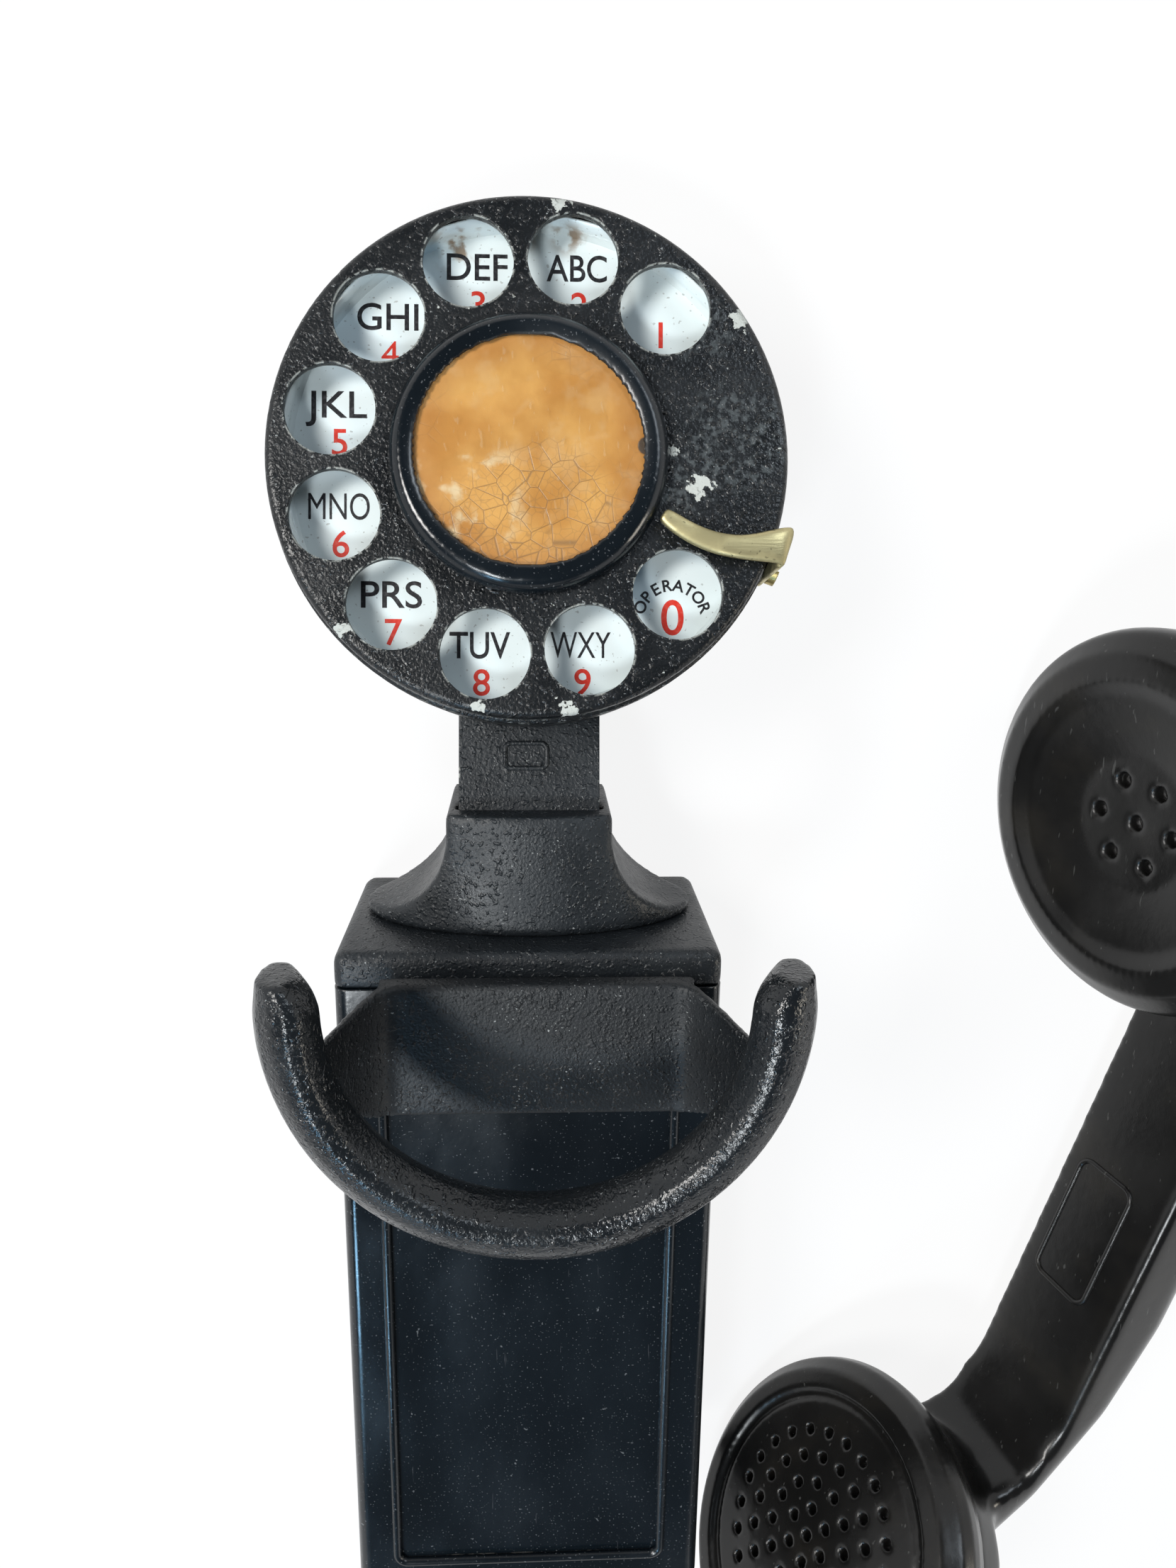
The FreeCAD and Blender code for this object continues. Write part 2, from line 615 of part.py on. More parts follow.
def make_hook():
    outside = bow_inside + bow_width
    front = bow_out + bow_depth
    belly = bow_out + bow_depth * 0.55
    section = [
        (bow_inside, bow_out + bow_depth * 0.45), (bow_inside + bow_width * 0.22, front, 3.2, 1),
        (bow_inside + bow_width * 0.62, front - bow_depth * 0.08), (outside, belly),
        (outside - bow_width * 0.2, bow_out), (bow_inside + bow_width * 0.3, bow_out)]
    ring = place(turned("bow_ring", section, 180, True), (0, bow_middle, 0))
    prong = place(pad("bow_prong", "XZ_Plane", section, prong_length, True), (0, bow_middle, 0))
    other_prong = doc.addObject("Part::Mirroring", "left_prong")
    other_prong.Source = prong
    other_prong.Normal = Vector(1, 0, 0)
    wing = bow_out + bow_depth * 0.4
    inner_corner = bridge_width / 2 - bridge_thickness * 0.4
    strip = pad("bridge_strip", "XZ_Plane",
                [(-outside, wing), (bridge_width * -0.5, bridge_out), (bridge_width * 0.5, bridge_out),
                 (outside, wing), (outside, wing + bridge_thickness),
                 (inner_corner, bridge_out + bridge_thickness), (-inner_corner, bridge_out + bridge_thickness),
                 (-outside, wing + bridge_thickness)], bridge_height, True)
    place(strip, (0, bridge_bottom, 0))
    trim_radius = outside - bow_width * 0.35
    trim = fuse(cylinder(trim_radius, body_depth * 2, (0, bow_middle, bridge_out - sheet_metal)),
                box(trim_radius * 2, prong_length, body_depth * 2,
                    (-trim_radius, bow_middle, bridge_out - sheet_metal)))
    slant = frame_text((0, bow_middle + prong_length, front), ((X_AXIS, -prong_slant),))
    above = box(outside * 4, outside, bow_depth * 4)
    place(above, (outside * -2, 0, bow_depth * -3), frame=slant)
    widening = cylinder(bow_inside + mouth_widening, bow_depth * 2, (0, bow_middle + mouth_widening, bow_out - slip_gap))
    mouth = box((bow_inside + mouth_widening) * 2, outside, bow_depth * 2,
                (-bow_inside - mouth_widening, bow_middle + mouth_widening, bow_out - slip_gap))
    fork = cut(fuse(ring, prong, other_prong, common(strip, trim)), above, widening, mouth)
    place(fork, (hook_side, 0, 0))
    stem = box(stem_width, stem_height, bridge_out - pivot_out + bridge_thickness * 0.5,
               (stem_width * -0.5, pivot_up - stem_height / 2, pivot_out))
    boss = cylinder(boss_radius, stem_width, (stem_width * -0.5, pivot_up, pivot_out), "x")
    tail = box(tail_width, tail_length, tail_thickness,
               (tail_width * -0.5, pivot_up - tail_length, pivot_out - tail_thickness))
    bore = cylinder(pivot_radius + fit_gap, stem_width * 2, (-stem_width, pivot_up, pivot_out), "x")
    subpart("cradle_hook", cut(fuse(fork, stem, boss, tail), bore))


def ear_inside():
    return stem_width / 2 + slip_gap


def frame_screw_places():
    return [(x * (ear_inside() * 0.5), pivot_up - tail_length) for x in (-1, 1)]


def make_hook_frame():
    reach = ear_inside() + sheet_metal
    low = pivot_up - tail_length - screw_head - 1
    high = pivot_up + boss_radius + 0.8
    base = box(reach * 2, high - low, sheet_metal, (-reach, low, plate_thickness))
    ears = [box(sheet_metal, boss_radius * 2 + 1.6, pivot_out + boss_radius - plate_thickness,
                (x, pivot_up - boss_radius - 0.8, plate_thickness))
            for x in (-reach, ear_inside())]
    bore = cylinder(pivot_radius + 0.01, reach * 4, (reach * -2, pivot_up, pivot_out), "x")
    holes = [cylinder(screw_radius + fit_gap, sheet_metal * 3, (x, y, plate_thickness - sheet_metal))
             for x, y in frame_screw_places()]
    subpart("hook_frame", cut(fuse(base, *ears), bore, *holes))
    screws = [screw((x, y, plate_thickness + sheet_metal), "down", sheet_metal + plate_thickness)
              for x, y in frame_screw_places()]
    subpart("frame_screws", group(*screws))
    pin_half = reach + 0.6
    subpart("hook_pivot_pin", cylinder(pivot_radius, pin_half * 2, (-pin_half, pivot_up, pivot_out), "x"))


def make_return_spring():
    """A bent leaf that stands on the frame and bears on the back of the hook's tail."""
    low = plate_thickness + sheet_metal
    top = pivot_out - tail_thickness - 0.05
    start = pivot_up - boss_radius - 1.5
    tip = pivot_up - tail_length * 0.72
    leaf = pad("return_leaf", "YZ_Plane",
               [(start, low), (start, low + leaf_metal), (tip - 1, low + leaf_metal),
                (tip + 2, top), (tip + 2 - leaf_metal * 2, top), (tip - 1 - leaf_metal * 2, low)],
               leaf_width, False, True)
    subpart("hook_return_spring", leaf)


def pile_screw_places():
    return [pile_bottom + pile_length * share for share in (0.25, 0.75)]


def drilled(block, radius):
    tools = [cylinder(radius, body_depth, (0, y, 0)) for y in pile_screw_places()]
    return cut(block, *tools)


def make_switch_pile():
    pin = screw_radius * 0.6
    bore = pin + fit_gap
    level = plate_thickness
    insulators = []
    leaves = []
    for layer in range(4):
        thick = pile_base if layer == 0 else pile_spacer
        block = box(pile_width, pile_length, thick, (pile_width * -0.5, pile_bottom, level))
        insulators.append(drilled(block, bore))
        level = level + thick
        if layer < 3:
            leaf = box(leaf_width, leaf_reach - 3 * layer, leaf_metal, (leaf_width * -0.5, pile_bottom, level))
            leaves.append(drilled(leaf, bore))
            level = level + leaf_metal
    subpart("switch_leaves", group(*leaves))
    subpart("switch_insulators", group(*insulators))
    screws = [screw((0, y, level), "down", level, screw_head * 0.7, pin) for y in pile_screw_places()]
    subpart("switch_screws", group(*screws))


def strip_screw_places():
    return [strip_length * side for side in (-0.44, 0.44)]


def make_terminals():
    middle = strip_bottom + strip_width / 2
    block = box(strip_length, strip_width, strip_height, (strip_length * -0.5, strip_bottom, plate_thickness))
    top = plate_thickness + strip_height
    places = [terminal_pitch * number for number in (-1.5, -0.5, 0.5, 1.5)]
    tools = [cylinder(screw_radius + fit_gap, strip_height, (x, middle, plate_thickness + 2)) for x in places]
    tools += [cylinder(screw_radius + fit_gap, strip_height * 3, (x, middle, 0)) for x in strip_screw_places()]
    subpart("terminal_strip", cut(block, *tools))
    subpart("terminal_screws", group(*[screw((x, middle, top), "down", strip_height - 2.5) for x in places]))
    subpart("strip_screws",
            group(*[screw((x, middle, top), "down", strip_height + plate_thickness, screw_head * 0.8)
                    for x in strip_screw_places()]))


# Pedestal and dial bracket

def pedestal_screw_place():
    return pedestal_width * 0.3, pedestal_depth * 0.5


def make_pedestal():
    foot = body_length / 2
    wide = pedestal_width / 2
    narrow = pedestal_neck / 2
    flare = wide - narrow
    top = foot + pedestal_height
    face = pad("pedestal_face", "XY_Plane",
               [(-wide, foot), (wide, foot), (wide, foot + pedestal_flange, flare, 1),
                (narrow, foot + pedestal_flange + flare), (narrow, top), (-narrow, top),
                (-narrow, foot + pedestal_flange + flare, flare, 1), (-wide, foot + pedestal_flange)],
               pedestal_depth)
    oval = doc.addObject("Part::Ellipse", "foot_oval")
    bind(oval, "MajorRadius", wide)
    bind(oval, "MinorRadius", pedestal_depth / 2)
    place(oval, (0, foot, pedestal_depth / 2), ((X_AXIS, -90),))
    prism = doc.addObject("Part::Extrusion", "foot_prism")
    prism.Base = oval
    prism.DirMode = "Custom"
    prism.Dir = Vector(0, 1, 0)
    prism.Solid = True
    bind(prism, "LengthFwd", pedestal_height)
    neck_relief = box(pedestal_width, pedestal_height, neck_back,
                      (-wide, foot + pedestal_flange + flare * 0.75, 0))
    slot = strap_block(slip_gap)
    tools = [slot, neck_relief]
    for x in (-1, 1):
        tools.append(cylinder(screw_radius + fit_gap, pedestal_flange + 1.2,
                              (pedestal_screw_place()[0] * x, foot, pedestal_screw_place()[1]), "y"))
    subpart("dial_pedestal", cut(common(face, prism), *tools))
    screws = [screw((pedestal_screw_place()[0] * x, cap_bottom, pedestal_screw_place()[1]), "y",
                    cap_thickness + pedestal_flange) for x in (-1, 1)]
    subpart("pedestal_screws", group(*screws))


def strap_block(room):
    """The bracket's strap, made larger all round by the room it needs."""
    strap = box(stem_strap + room * 2, strap_length + room, bracket_thickness + room * 2,
                (stem_strap * -0.5 - room, -strap_length - room, -case_back - bracket_thickness - room))
    carrier = doc.addObject("Part::Compound", "strap_space")
    carrier.Links = [strap]
    carrier.setExpression("Placement", dial_frame)
    return carrier


def make_bracket():
    disc = cylinder(bracket_radius, bracket_thickness, (0, 0, -case_back - bracket_thickness))
    strap = box(stem_strap, strap_length, bracket_thickness,
                (stem_strap * -0.5, -strap_length, -case_back - bracket_thickness))
    holes = [cylinder(screw_radius + fit_gap, bracket_thickness * 3, (x, y, -case_back - bracket_thickness * 2))
             for x, y in case_screw_places()]
    subpart("dial_bracket", cut(fuse(disc, strap), *holes), dial_frame)
    back = -case_back - bracket_thickness
    screws = [screw((x, y, back), "z", bracket_thickness + case_floor) for x, y in case_screw_places()]
    subpart("bracket_screws", group(*screws), dial_frame)


def case_screw_places():
    spread = bracket_radius * 0.6
    return [(spread * math.cos(math.radians(angle)), spread * math.sin(math.radians(angle)))
            for angle in (45, 225, 315)]


# Dial

def make_case():
    bead = case_bead
    profile = [
        (0, -case_back), (case_radius - 2, -case_back), (case_radius, -case_back + 2),
        (case_radius, -case_mouth - 5), (case_radius + bead, -case_mouth - 4.4),
        (case_radius + bead, -case_mouth - 3.4), (case_radius, -case_mouth - 2.8),
        (case_radius, -case_mouth - 1.6), (case_radius + bead, -case_mouth - 1.1),
        (case_radius + bead, -case_mouth - 0.4), (case_radius, -case_mouth),
        (case_inside, -case_mouth), (case_inside, frame_back), (ledge_inside, frame_back),
        (ledge_inside, rear_plate_back), (0, rear_plate_back)]
    cup = turned("case_cup", profile)
    pad_depth = stop_foot - case_mouth - 5.4
    seat = place(box(case_bead + case_wall + 0.2, stop_width, pad_depth),
                 (0, 0, 0))
    place(seat, (case_inside, stop_width * -0.5, -stop_foot))
    lug = place(group(seat), (0, 0, 0), ((Z_AXIS, stop_angle),))
    holes = [cylinder(screw_radius + fit_gap, case_floor * 3, (x, y, -case_back - case_floor))
             for x, y in case_screw_places()]
    hole = cylinder(screw_radius * 0.7 + fit_gap, case_radius, (case_inside - case_step - 1, 0, stop_screw_level()), "x")
    stop_hole = place(group(hole), (0, 0, 0), ((Z_AXIS, stop_angle),))
    subpart("dial_case", cut(fuse(cup, lug), stop_hole, *holes), dial_frame)


def stop_screw_level():
    return -(stop_foot + case_mouth + 5.4) * 0.5


def stop_inside():
    return case_radius + case_bead + 0.2


def make_finger_stop():
    inner = stop_inside()
    upper = stop_gap + stop_metal
    foot = box(stop_metal, stop_width, stop_foot + upper, (inner, stop_width * -0.5, -stop_foot))
    hook = box(inner + stop_metal - stop_tip - stop_finger * 0.5, stop_finger, stop_metal,
               (stop_tip + stop_finger * 0.5, stop_finger * -0.5, stop_gap))
    tip = cylinder(stop_finger / 2, stop_metal, (stop_tip + stop_finger * 0.5, 0, stop_gap))
    root = pad("stop_root", "XY_Plane",
               [(inner - 5, stop_finger * -0.5), (inner, stop_width * -0.5), (inner + stop_metal, stop_width * -0.5),
                (inner + stop_metal, stop_width * 0.5), (inner, stop_width * 0.5), (inner - 5, stop_finger * 0.5)],
               stop_metal)
    place(root, (0, 0, stop_gap))
    hole = cylinder(screw_radius * 0.7 + fit_gap, stop_metal * 4, (inner - stop_metal, 0, stop_screw_level()), "x")
    turn = f"{dial_frame} * {frame_text((0, 0, 0), ((Z_AXIS, stop_angle),))}"
    subpart("finger_stop", cut(fuse(foot, hook, tip, root), hole), turn)
    rod = screw_radius * 0.7
    grip = stop_metal + case_bead + case_wall + case_step * 0.5
    head = cylinder(screw_head * 0.8, head_height * 0.8, (0, 0, 0))
    shank = cylinder(rod, grip, (0, 0, -grip))
    slot = box(screw_head * 3, screw_radius * 0.4, head_height, (screw_head * -1.5, screw_radius * -0.2, head_height * 0.4))
    bolt = place(cut(fuse(head, shank), slot), (inner + stop_metal, 0, stop_screw_level()), ALONG["x"])
    subpart("finger_stop_screw", group(bolt), turn)


def make_frame_plate():
    plate = turned("frame_disc", [
        (shaft_radius + fit_gap, frame_back), (case_inside - slip_gap / 2, frame_back),
        (case_inside - slip_gap / 2, frame_front), (shaft_radius + fit_gap, frame_front)])
    tools = [cylinder(arbor_radius + fit_gap, sheet_metal * 3, (x, y, frame_back - sheet_metal))
             for x, y in (pulse_place(), governor_place())]
    subpart("dial_frame_plate", cut(plate, *tools), dial_frame)


def pulse_place():
    return pulse_distance * cosine(train_angle), pulse_distance * sine(train_angle)


def governor_place():
    """The governor arbor lies as far from the dial shaft as the pulse arbor does."""
    half_angle = math.degrees(math.asin(governor_distance.value / 2 / pulse_distance.value))
    text = f"2 * asin({governor_distance.text} / 2 / {pulse_distance.text}) / 1 deg"
    angle = train_angle + Size(2 * half_angle, f"({text})")
    return pulse_distance * cosine(angle), pulse_distance * sine(angle)


def make_number_plate():
    back = frame_front
    front = back + number_plate_metal
    plate = turned("number_plate", [
        (plate_eye, back), (plate_radius, back), (plate_radius, front - 0.2), (plate_radius - 0.4, front),
        (plate_eye + 0.4, front), (plate_eye, front - 0.2)])
    subpart("number_plate", plate, dial_frame)


def make_wheel():
    skirt = wheel_radius - wheel_thickness
    wheel = turned("finger_wheel", [
        (shaft_radius + fit_gap, -wheel_thickness), (skirt, -wheel_thickness), (skirt, -wheel_skirt),
        (wheel_radius, -wheel_skirt), (wheel_radius, -wheel_thickness, wheel_thickness, -1),
        (skirt, 0), (shaft_radius + fit_gap, 0)])
    hole_ring(wheel, finger_hole, wheel_skirt * 4, finger_circle, 10, finger_step * 9, finger_first)
    subpart("finger_wheel", wheel, dial_frame)


def make_card():
    lip = card_seat + card_plate_metal + card_paper + window_thickness + fit_gap
    inner = ring_inside
    ring = turned("card_ring", [
        (inner - 1.6, 0), (ring_outside, 0), (ring_outside, ring_height * 0.35, ring_height * 0.8, -1),
        (ring_outside - ring_height * 0.5, ring_height), (inner - 0.2, ring_height - 0.3, 1.2, -1),
        (inner - 0.8, lip), (inner, lip), (inner, card_seat), (inner - 1.6, card_seat)])
    subpart("card_ring", ring, dial_frame)
    level = card_seat
    for name, thick in (("card_plate", card_plate_metal), ("number_card", card_paper),
                        ("card_window", window_thickness)):
        subpart(name, cylinder(card_radius, thick, (0, 0, level)), None)
        subparts[-1].setExpression("Placement", f"{dial_frame} * {frame_text((0, 0, level), ())}")
        level = level + thick


def make_shaft():
    top = nut_height
    bottom = rear_plate_back + 0.2
    collar = -wheel_thickness - collar_height
    shaft = turned("dial_shaft", [
        (0, bottom), (shaft_radius, bottom), (shaft_radius, collar), (collar_radius, collar),
        (collar_radius, -wheel_thickness), (shaft_radius, -wheel_thickness), (shaft_radius, top), (0, top)])
    subpart("dial_shaft", shaft, dial_frame)
    nut = doc.addObject("Part::Prism", "nut")
    nut.Polygon = 6
    bind(nut, "Circumradius", nut_radius)
    bind(nut, "Height", nut_height)
    bore = cylinder(shaft_radius + fit_gap, nut_height * 3, (0, 0, -nut_height))
    subpart("wheel_nut", cut(nut, bore), dial_frame)


def gear_profile(teeth, module, backlash):
    """A spur gear's outline: flanks of three points on an involute of 20 degrees."""
    pressure = math.radians(20)
    pitch = module * teeth / 2
    base = pitch * math.cos(pressure)
    tip = pitch + module * 0.95
    foot = pitch - module * 1.2
    half_tooth = math.pi / 2 / teeth - backlash / 2 / pitch + math.tan(pressure) - pressure
    start = max(base, foot)
    radii = [start, (start + pitch) / 2, pitch, (pitch + tip) / 2, tip]
    flank = []
    for radius in radii:
        reach = math.sqrt(max((radius / base) ** 2 - 1, 0))
        flank.append((radius, half_tooth - (reach - math.atan(reach))))
    if foot < start:
        flank.insert(0, (foot, flank[0][1]))
    points = []
    for tooth in range(teeth):
        middle = 2 * math.pi * tooth / teeth
        for radius, half in flank:
            points.append((radius, middle - half))
        for radius, half in reversed(flank):
            points.append((radius, middle + half))
    return [Vector(radius * math.cos(angle), radius * math.sin(angle), 0) for radius, angle in points]


def gear_solid(teeth, turn, bottom, thickness):
    points = gear_profile(teeth, gear_module.value, gear_backlash.value)
    points.append(points[0])
    solid = Part.Face(Part.makePolygon(points)).extrude(Vector(0, 0, thickness))
    solid.rotate(Vector(0, 0, 0), Vector(0, 0, 1), math.degrees(turn))
    solid.translate(Vector(0, 0, bottom))
    return solid


def rod(radius, bottom, top):
    return Part.makeCylinder(radius, top - bottom, Vector(0, 0, bottom))


def coded_part(name, shape, x=0, y=0, turn=0):
    """A piece whose shape is worked out in code, at a place of the dial."""
    feature = doc.addObject("Part::Feature", name)
    feature.Shape = shape
    feature.setExpression("Placement", f"{dial_frame} * {frame_text((x, y, 0), ((Z_AXIS, turn),))}")
    feature.Label = name
    subparts.append(feature)


def mesh_turn(teeth_driver, driver_turn, teeth, toward):
    """Turn of a gear so that its gap faces the driver's tooth along the line of centres."""
    driver_phase = (toward - driver_turn) * teeth_driver / (2 * math.pi)
    phase = 0.5 - driver_phase
    return toward + math.pi - phase * 2 * math.pi / teeth


def make_train():
    thick = gear_thickness.value
    toward = math.radians(train_angle.value)
    top = gear_top.value
    second = second_gear_top.value
    hub = rod(collar_radius.value, top - thick - 2.5, top)
    wheel = gear_solid(main_teeth, 0, top - thick, thick).fuse(hub)
    coded_part("main_gear", wheel.cut(rod(shaft_radius.value + fit_gap.value, top - 9, top + 9)))
    pinion_turn = mesh_turn(main_teeth, 0, pinion_teeth, toward)
    pulse_x, pulse_y = pulse_place()
    governor_x, governor_y = governor_place()
    bottom = rear_plate_back.value + 0.2
    front = frame_front.value - 0.3
    bore = rod(arbor_radius.value + fit_gap.value, bottom - 1, front + 1)
    coded_part("pulse_arbor", rod(arbor_radius.value, bottom, front), pulse_x, pulse_y)
    pinion = gear_solid(pinion_teeth, pinion_turn, second - thick * 0.2, top - second + thick * 0.2)
    coded_part("pulse_pinion", pinion.cut(bore), pulse_x, pulse_y)
    middle_gear = gear_solid(pulse_teeth, 0, second - thick * 1.2, thick)
    coded_part("pulse_gear", middle_gear.cut(bore), pulse_x, pulse_y)
    line = math.atan2((governor_y - pulse_y).value, (governor_x - pulse_x).value)
    governor_turn = mesh_turn(pulse_teeth, 0, governor_teeth, line)
    cam_top = second - thick * 1.2
    cam = rod(pulse_cam_radius.value, cam_top - 2, cam_top)
    for side in (-1, 1):
        bite = rod(pulse_cam_radius.value * 0.5, cam_top - 3, cam_top + 1)
        bite.translate(Vector(pulse_cam_radius.value * 1.1 * side, 0, 0))
        cam = cam.cut(bite)
    coded_part("pulse_cam", cam.cut(bore), pulse_x, pulse_y)
    coded_part("governor_arbor", rod(arbor_radius.value, bottom, front), governor_x, governor_y)
    small = gear_solid(governor_teeth, governor_turn, second - thick * 1.4, thick * 1.4)
    coded_part("governor_pinion", small.cut(bore), governor_x, governor_y)
    make_governor(governor_x, governor_y, second - thick * 1.4, bore)
    make_pulse_switch(pulse_x, pulse_y, cam_top)


def make_governor(x, y, top, bore):
    floor = rear_plate_front.value
    height = drum_height.value
    inner = drum_radius.value - drum_wall.value
    drum = rod(drum_radius.value, floor, floor + height).cut(rod(inner, floor, floor + height))
    coded_part("governor_drum", drum, x, y)
    hub_radius = arbor_radius.value * 2
    low = floor + 0.8
    weights = rod(hub_radius, low, top)
    for side in (-1, 1):
        arm = Part.makeBox(inner - 2.2, 1.2, height - 1.4, Vector(0, -0.6, low))
        pellet = Part.makeCylinder(1.5, height - 1.4, Vector(inner - 2.2, 0, low))
        flyer = arm.fuse(pellet)
        flyer.rotate(Vector(0, 0, 0), Vector(0, 0, 1), 90 - 90 * side)
        weights = weights.fuse(flyer)
    coded_part("governor_weights", weights.cut(bore), x, y)


def make_pulse_switch(x, y, cam_top):
    """Two leaves clamped in a block on the rear bearing plate, with their tips beside the cam."""
    floor = rear_plate_front.value
    reach = pulse_cam_radius.value + slip_gap.value
    length = 15.0
    leaf_height = 2.4
    low = cam_top - 2.8
    block_length = 5.0
    leaves = []
    blocks = []
    back = Part.makeBox(block_length, 1.6, cam_top - floor, Vector(length - block_length, reach - 1.6, floor))
    blocks.append(back)
    for number in range(2):
        out = reach + number * (leaf_metal.value + 1.4)
        leaf = Part.makeBox(length + 1.0, leaf_metal.value, leaf_height, Vector(-1.0, out, low))
        leaves.append(leaf)
        block = Part.makeBox(block_length, 1.4, cam_top - floor,
                             Vector(length - block_length, out + leaf_metal.value, floor))
        blocks.append(block)
    for name, solids in (("pulse_leaves", leaves), ("pulse_insulators", blocks)):
        coded_part(name, Part.Compound(solids), x, y, train_angle - 150)


def make_rear_plate():
    plate = turned("rear_disc", [
        (shaft_radius + fit_gap, rear_plate_back), (ledge_inside - slip_gap, rear_plate_back),
        (ledge_inside - slip_gap, rear_plate_front), (shaft_radius + fit_gap, rear_plate_front)])
    tools = [cylinder(arbor_radius + fit_gap, bridge_metal * 3, (x, y, rear_plate_back - bridge_metal))
             for x, y in (pulse_place(), governor_place())]
    subpart("rear_bearing_plate", cut(plate, *tools), dial_frame)


def make_mainspring():
    """A flat spiral of half circles from the shaft out to its anchor post."""
    low = rear_plate_front.value + 1.0
    start = shaft_radius.value + fit_gap.value + 0.25
    step = spring_pitch.value / 2
    thick = spring_metal.value
    edges = []
    back_edges = []
    radius = start
    x = -start
    for half in range(int(spring_turns.value) * 2):
        side = 1 if half % 2 == 0 else -1
        centre = x + side * radius
        for shift, target in ((0, edges), (thick, back_edges)):
            reach = radius + shift
            target.append(Part.Arc(Vector(centre - side * reach, 0, low), Vector(centre, reach * side, low),
                                   Vector(centre + side * reach, 0, low)).toShape())
        x = centre + side * radius
        radius += step / 2
    first = Part.LineSegment(edges[0].Vertexes[0].Point, back_edges[0].Vertexes[0].Point).toShape()
    last = Part.LineSegment(edges[-1].Vertexes[-1].Point, back_edges[-1].Vertexes[-1].Point).toShape()
    wire = Part.Wire(Part.__sortEdges__(edges + [last] + back_edges + [first]))
    strip = Part.Face(wire).extrude(Vector(0, 0, spring_width.value))
    coded_part("mainspring", strip)
    post_radius = arbor_radius.value
    end = edges[-1].Vertexes[-1].Point
    outward = 1 if end.x > 0 else -1
    foot = Vector(end.x + outward * (thick + post_radius + fit_gap.value), 0, rear_plate_front.value)
    coded_part("spring_post", Part.makeCylinder(post_radius, 1.0 + spring_width.value, foot))


# Handset

def lean_frame(side):
    """The frame of one cap: side 1 is the receiver, side -1 the transmitter."""
    return f"{handset_frame} * {frame_text((0, grip_span * (0.5 * side), 0), ((X_AXIS, cap_lean * side),))}"


def local_lean(side):
    return frame_text((0, grip_span * (0.5 * side), 0), ((X_AXIS, cap_lean * side),))


def cap_seat():
    return -earcap_depth


def chamber_radius():
    return cup_radius - shell_wall


def make_receiver_cap():
    seat = cap_seat()
    roof = -dish_depth - shell_wall
    chamber = chamber_radius()
    cap = turned("receiver_cap", [
        (0, -dish_depth), (ear_dish * 0.5, -dish_depth + 0.6), (ear_dish - 1.2, -1.4), (ear_dish + 1.5, 0),
        (ear_radius - 4, -0.6), (ear_radius - 0.6, -3.2, 5.0, 1), (ear_radius, -6), (ear_radius - 0.3, -8.5),
        (cup_radius + 1.5, seat), (chamber, seat), (chamber, roof), (0, roof)])
    hole_ring(cap, sound_hole, earcap_depth * 4, sound_circle, 6, 360, as_size(0))
    hole_ring(cap, sound_hole, earcap_depth * 4, as_size(0), 1, 360, as_size(0))
    subpart("receiver_cap", cap, lean_frame(1))


def make_transmitter_cap():
    seat = cap_seat()
    roof = -shell_wall - 1.6
    chamber = chamber_radius()
    cap = turned("transmitter_cap", [
        (0, -0.6), (grille_radius * 0.6, -0.8), (grille_radius - 0.6, -1.6), (grille_radius, -2.2),
        (grille_radius + 1.0, -2.2), (grille_radius + 1.8, -1.0), (mouth_radius - 3.4, -1.6),
        (mouth_radius - 0.6, -4.6), (mouth_radius, -7.2), (mouth_radius - 0.6, -9.8),
        (cup_radius + 1.5, seat), (chamber, seat), (chamber, roof), (0, roof)])
    for ring in range(1, 5):
        hole_ring(cap, grille_hole, earcap_depth * 4, grille_pitch * ring, 6 * ring, 360, as_size(0))
    hole_ring(cap, grille_hole, earcap_depth * 4, as_size(0), 1, 360, as_size(0))
    subpart("transmitter_cap", cap, lean_frame(-1))


def make_units():
    chamber = chamber_radius() - slip_gap
    for name, side, top in (("receiver_unit", 1, -dish_depth - shell_wall), ("transmitter_unit", -1, -shell_wall - 1.6)):
        unit = turned(name, [
            (0, top - unit_thickness), (chamber - 5, top - unit_thickness), (chamber - 5, top - unit_thickness + 4),
            (chamber, top - unit_thickness + 5), (chamber, top - 0.4), (chamber - 0.4, top), (0, top)])
        subpart(name, unit, lean_frame(side))
        floor = -earcap_depth - cup_depth + shell_wall
        back = top - unit_thickness
        post = []
        for x in (-8, 8):
            clip = box(4, leaf_width, leaf_metal, (x - 2, leaf_width * -0.5, floor))
            leg = box(leaf_metal, leaf_width, back - floor, (x - leaf_metal * 0.5, leaf_width * -0.5, floor))
            post.append(fuse(clip, leg))
        subpart(name.replace("unit", "contacts"), group(*post), lean_frame(side))


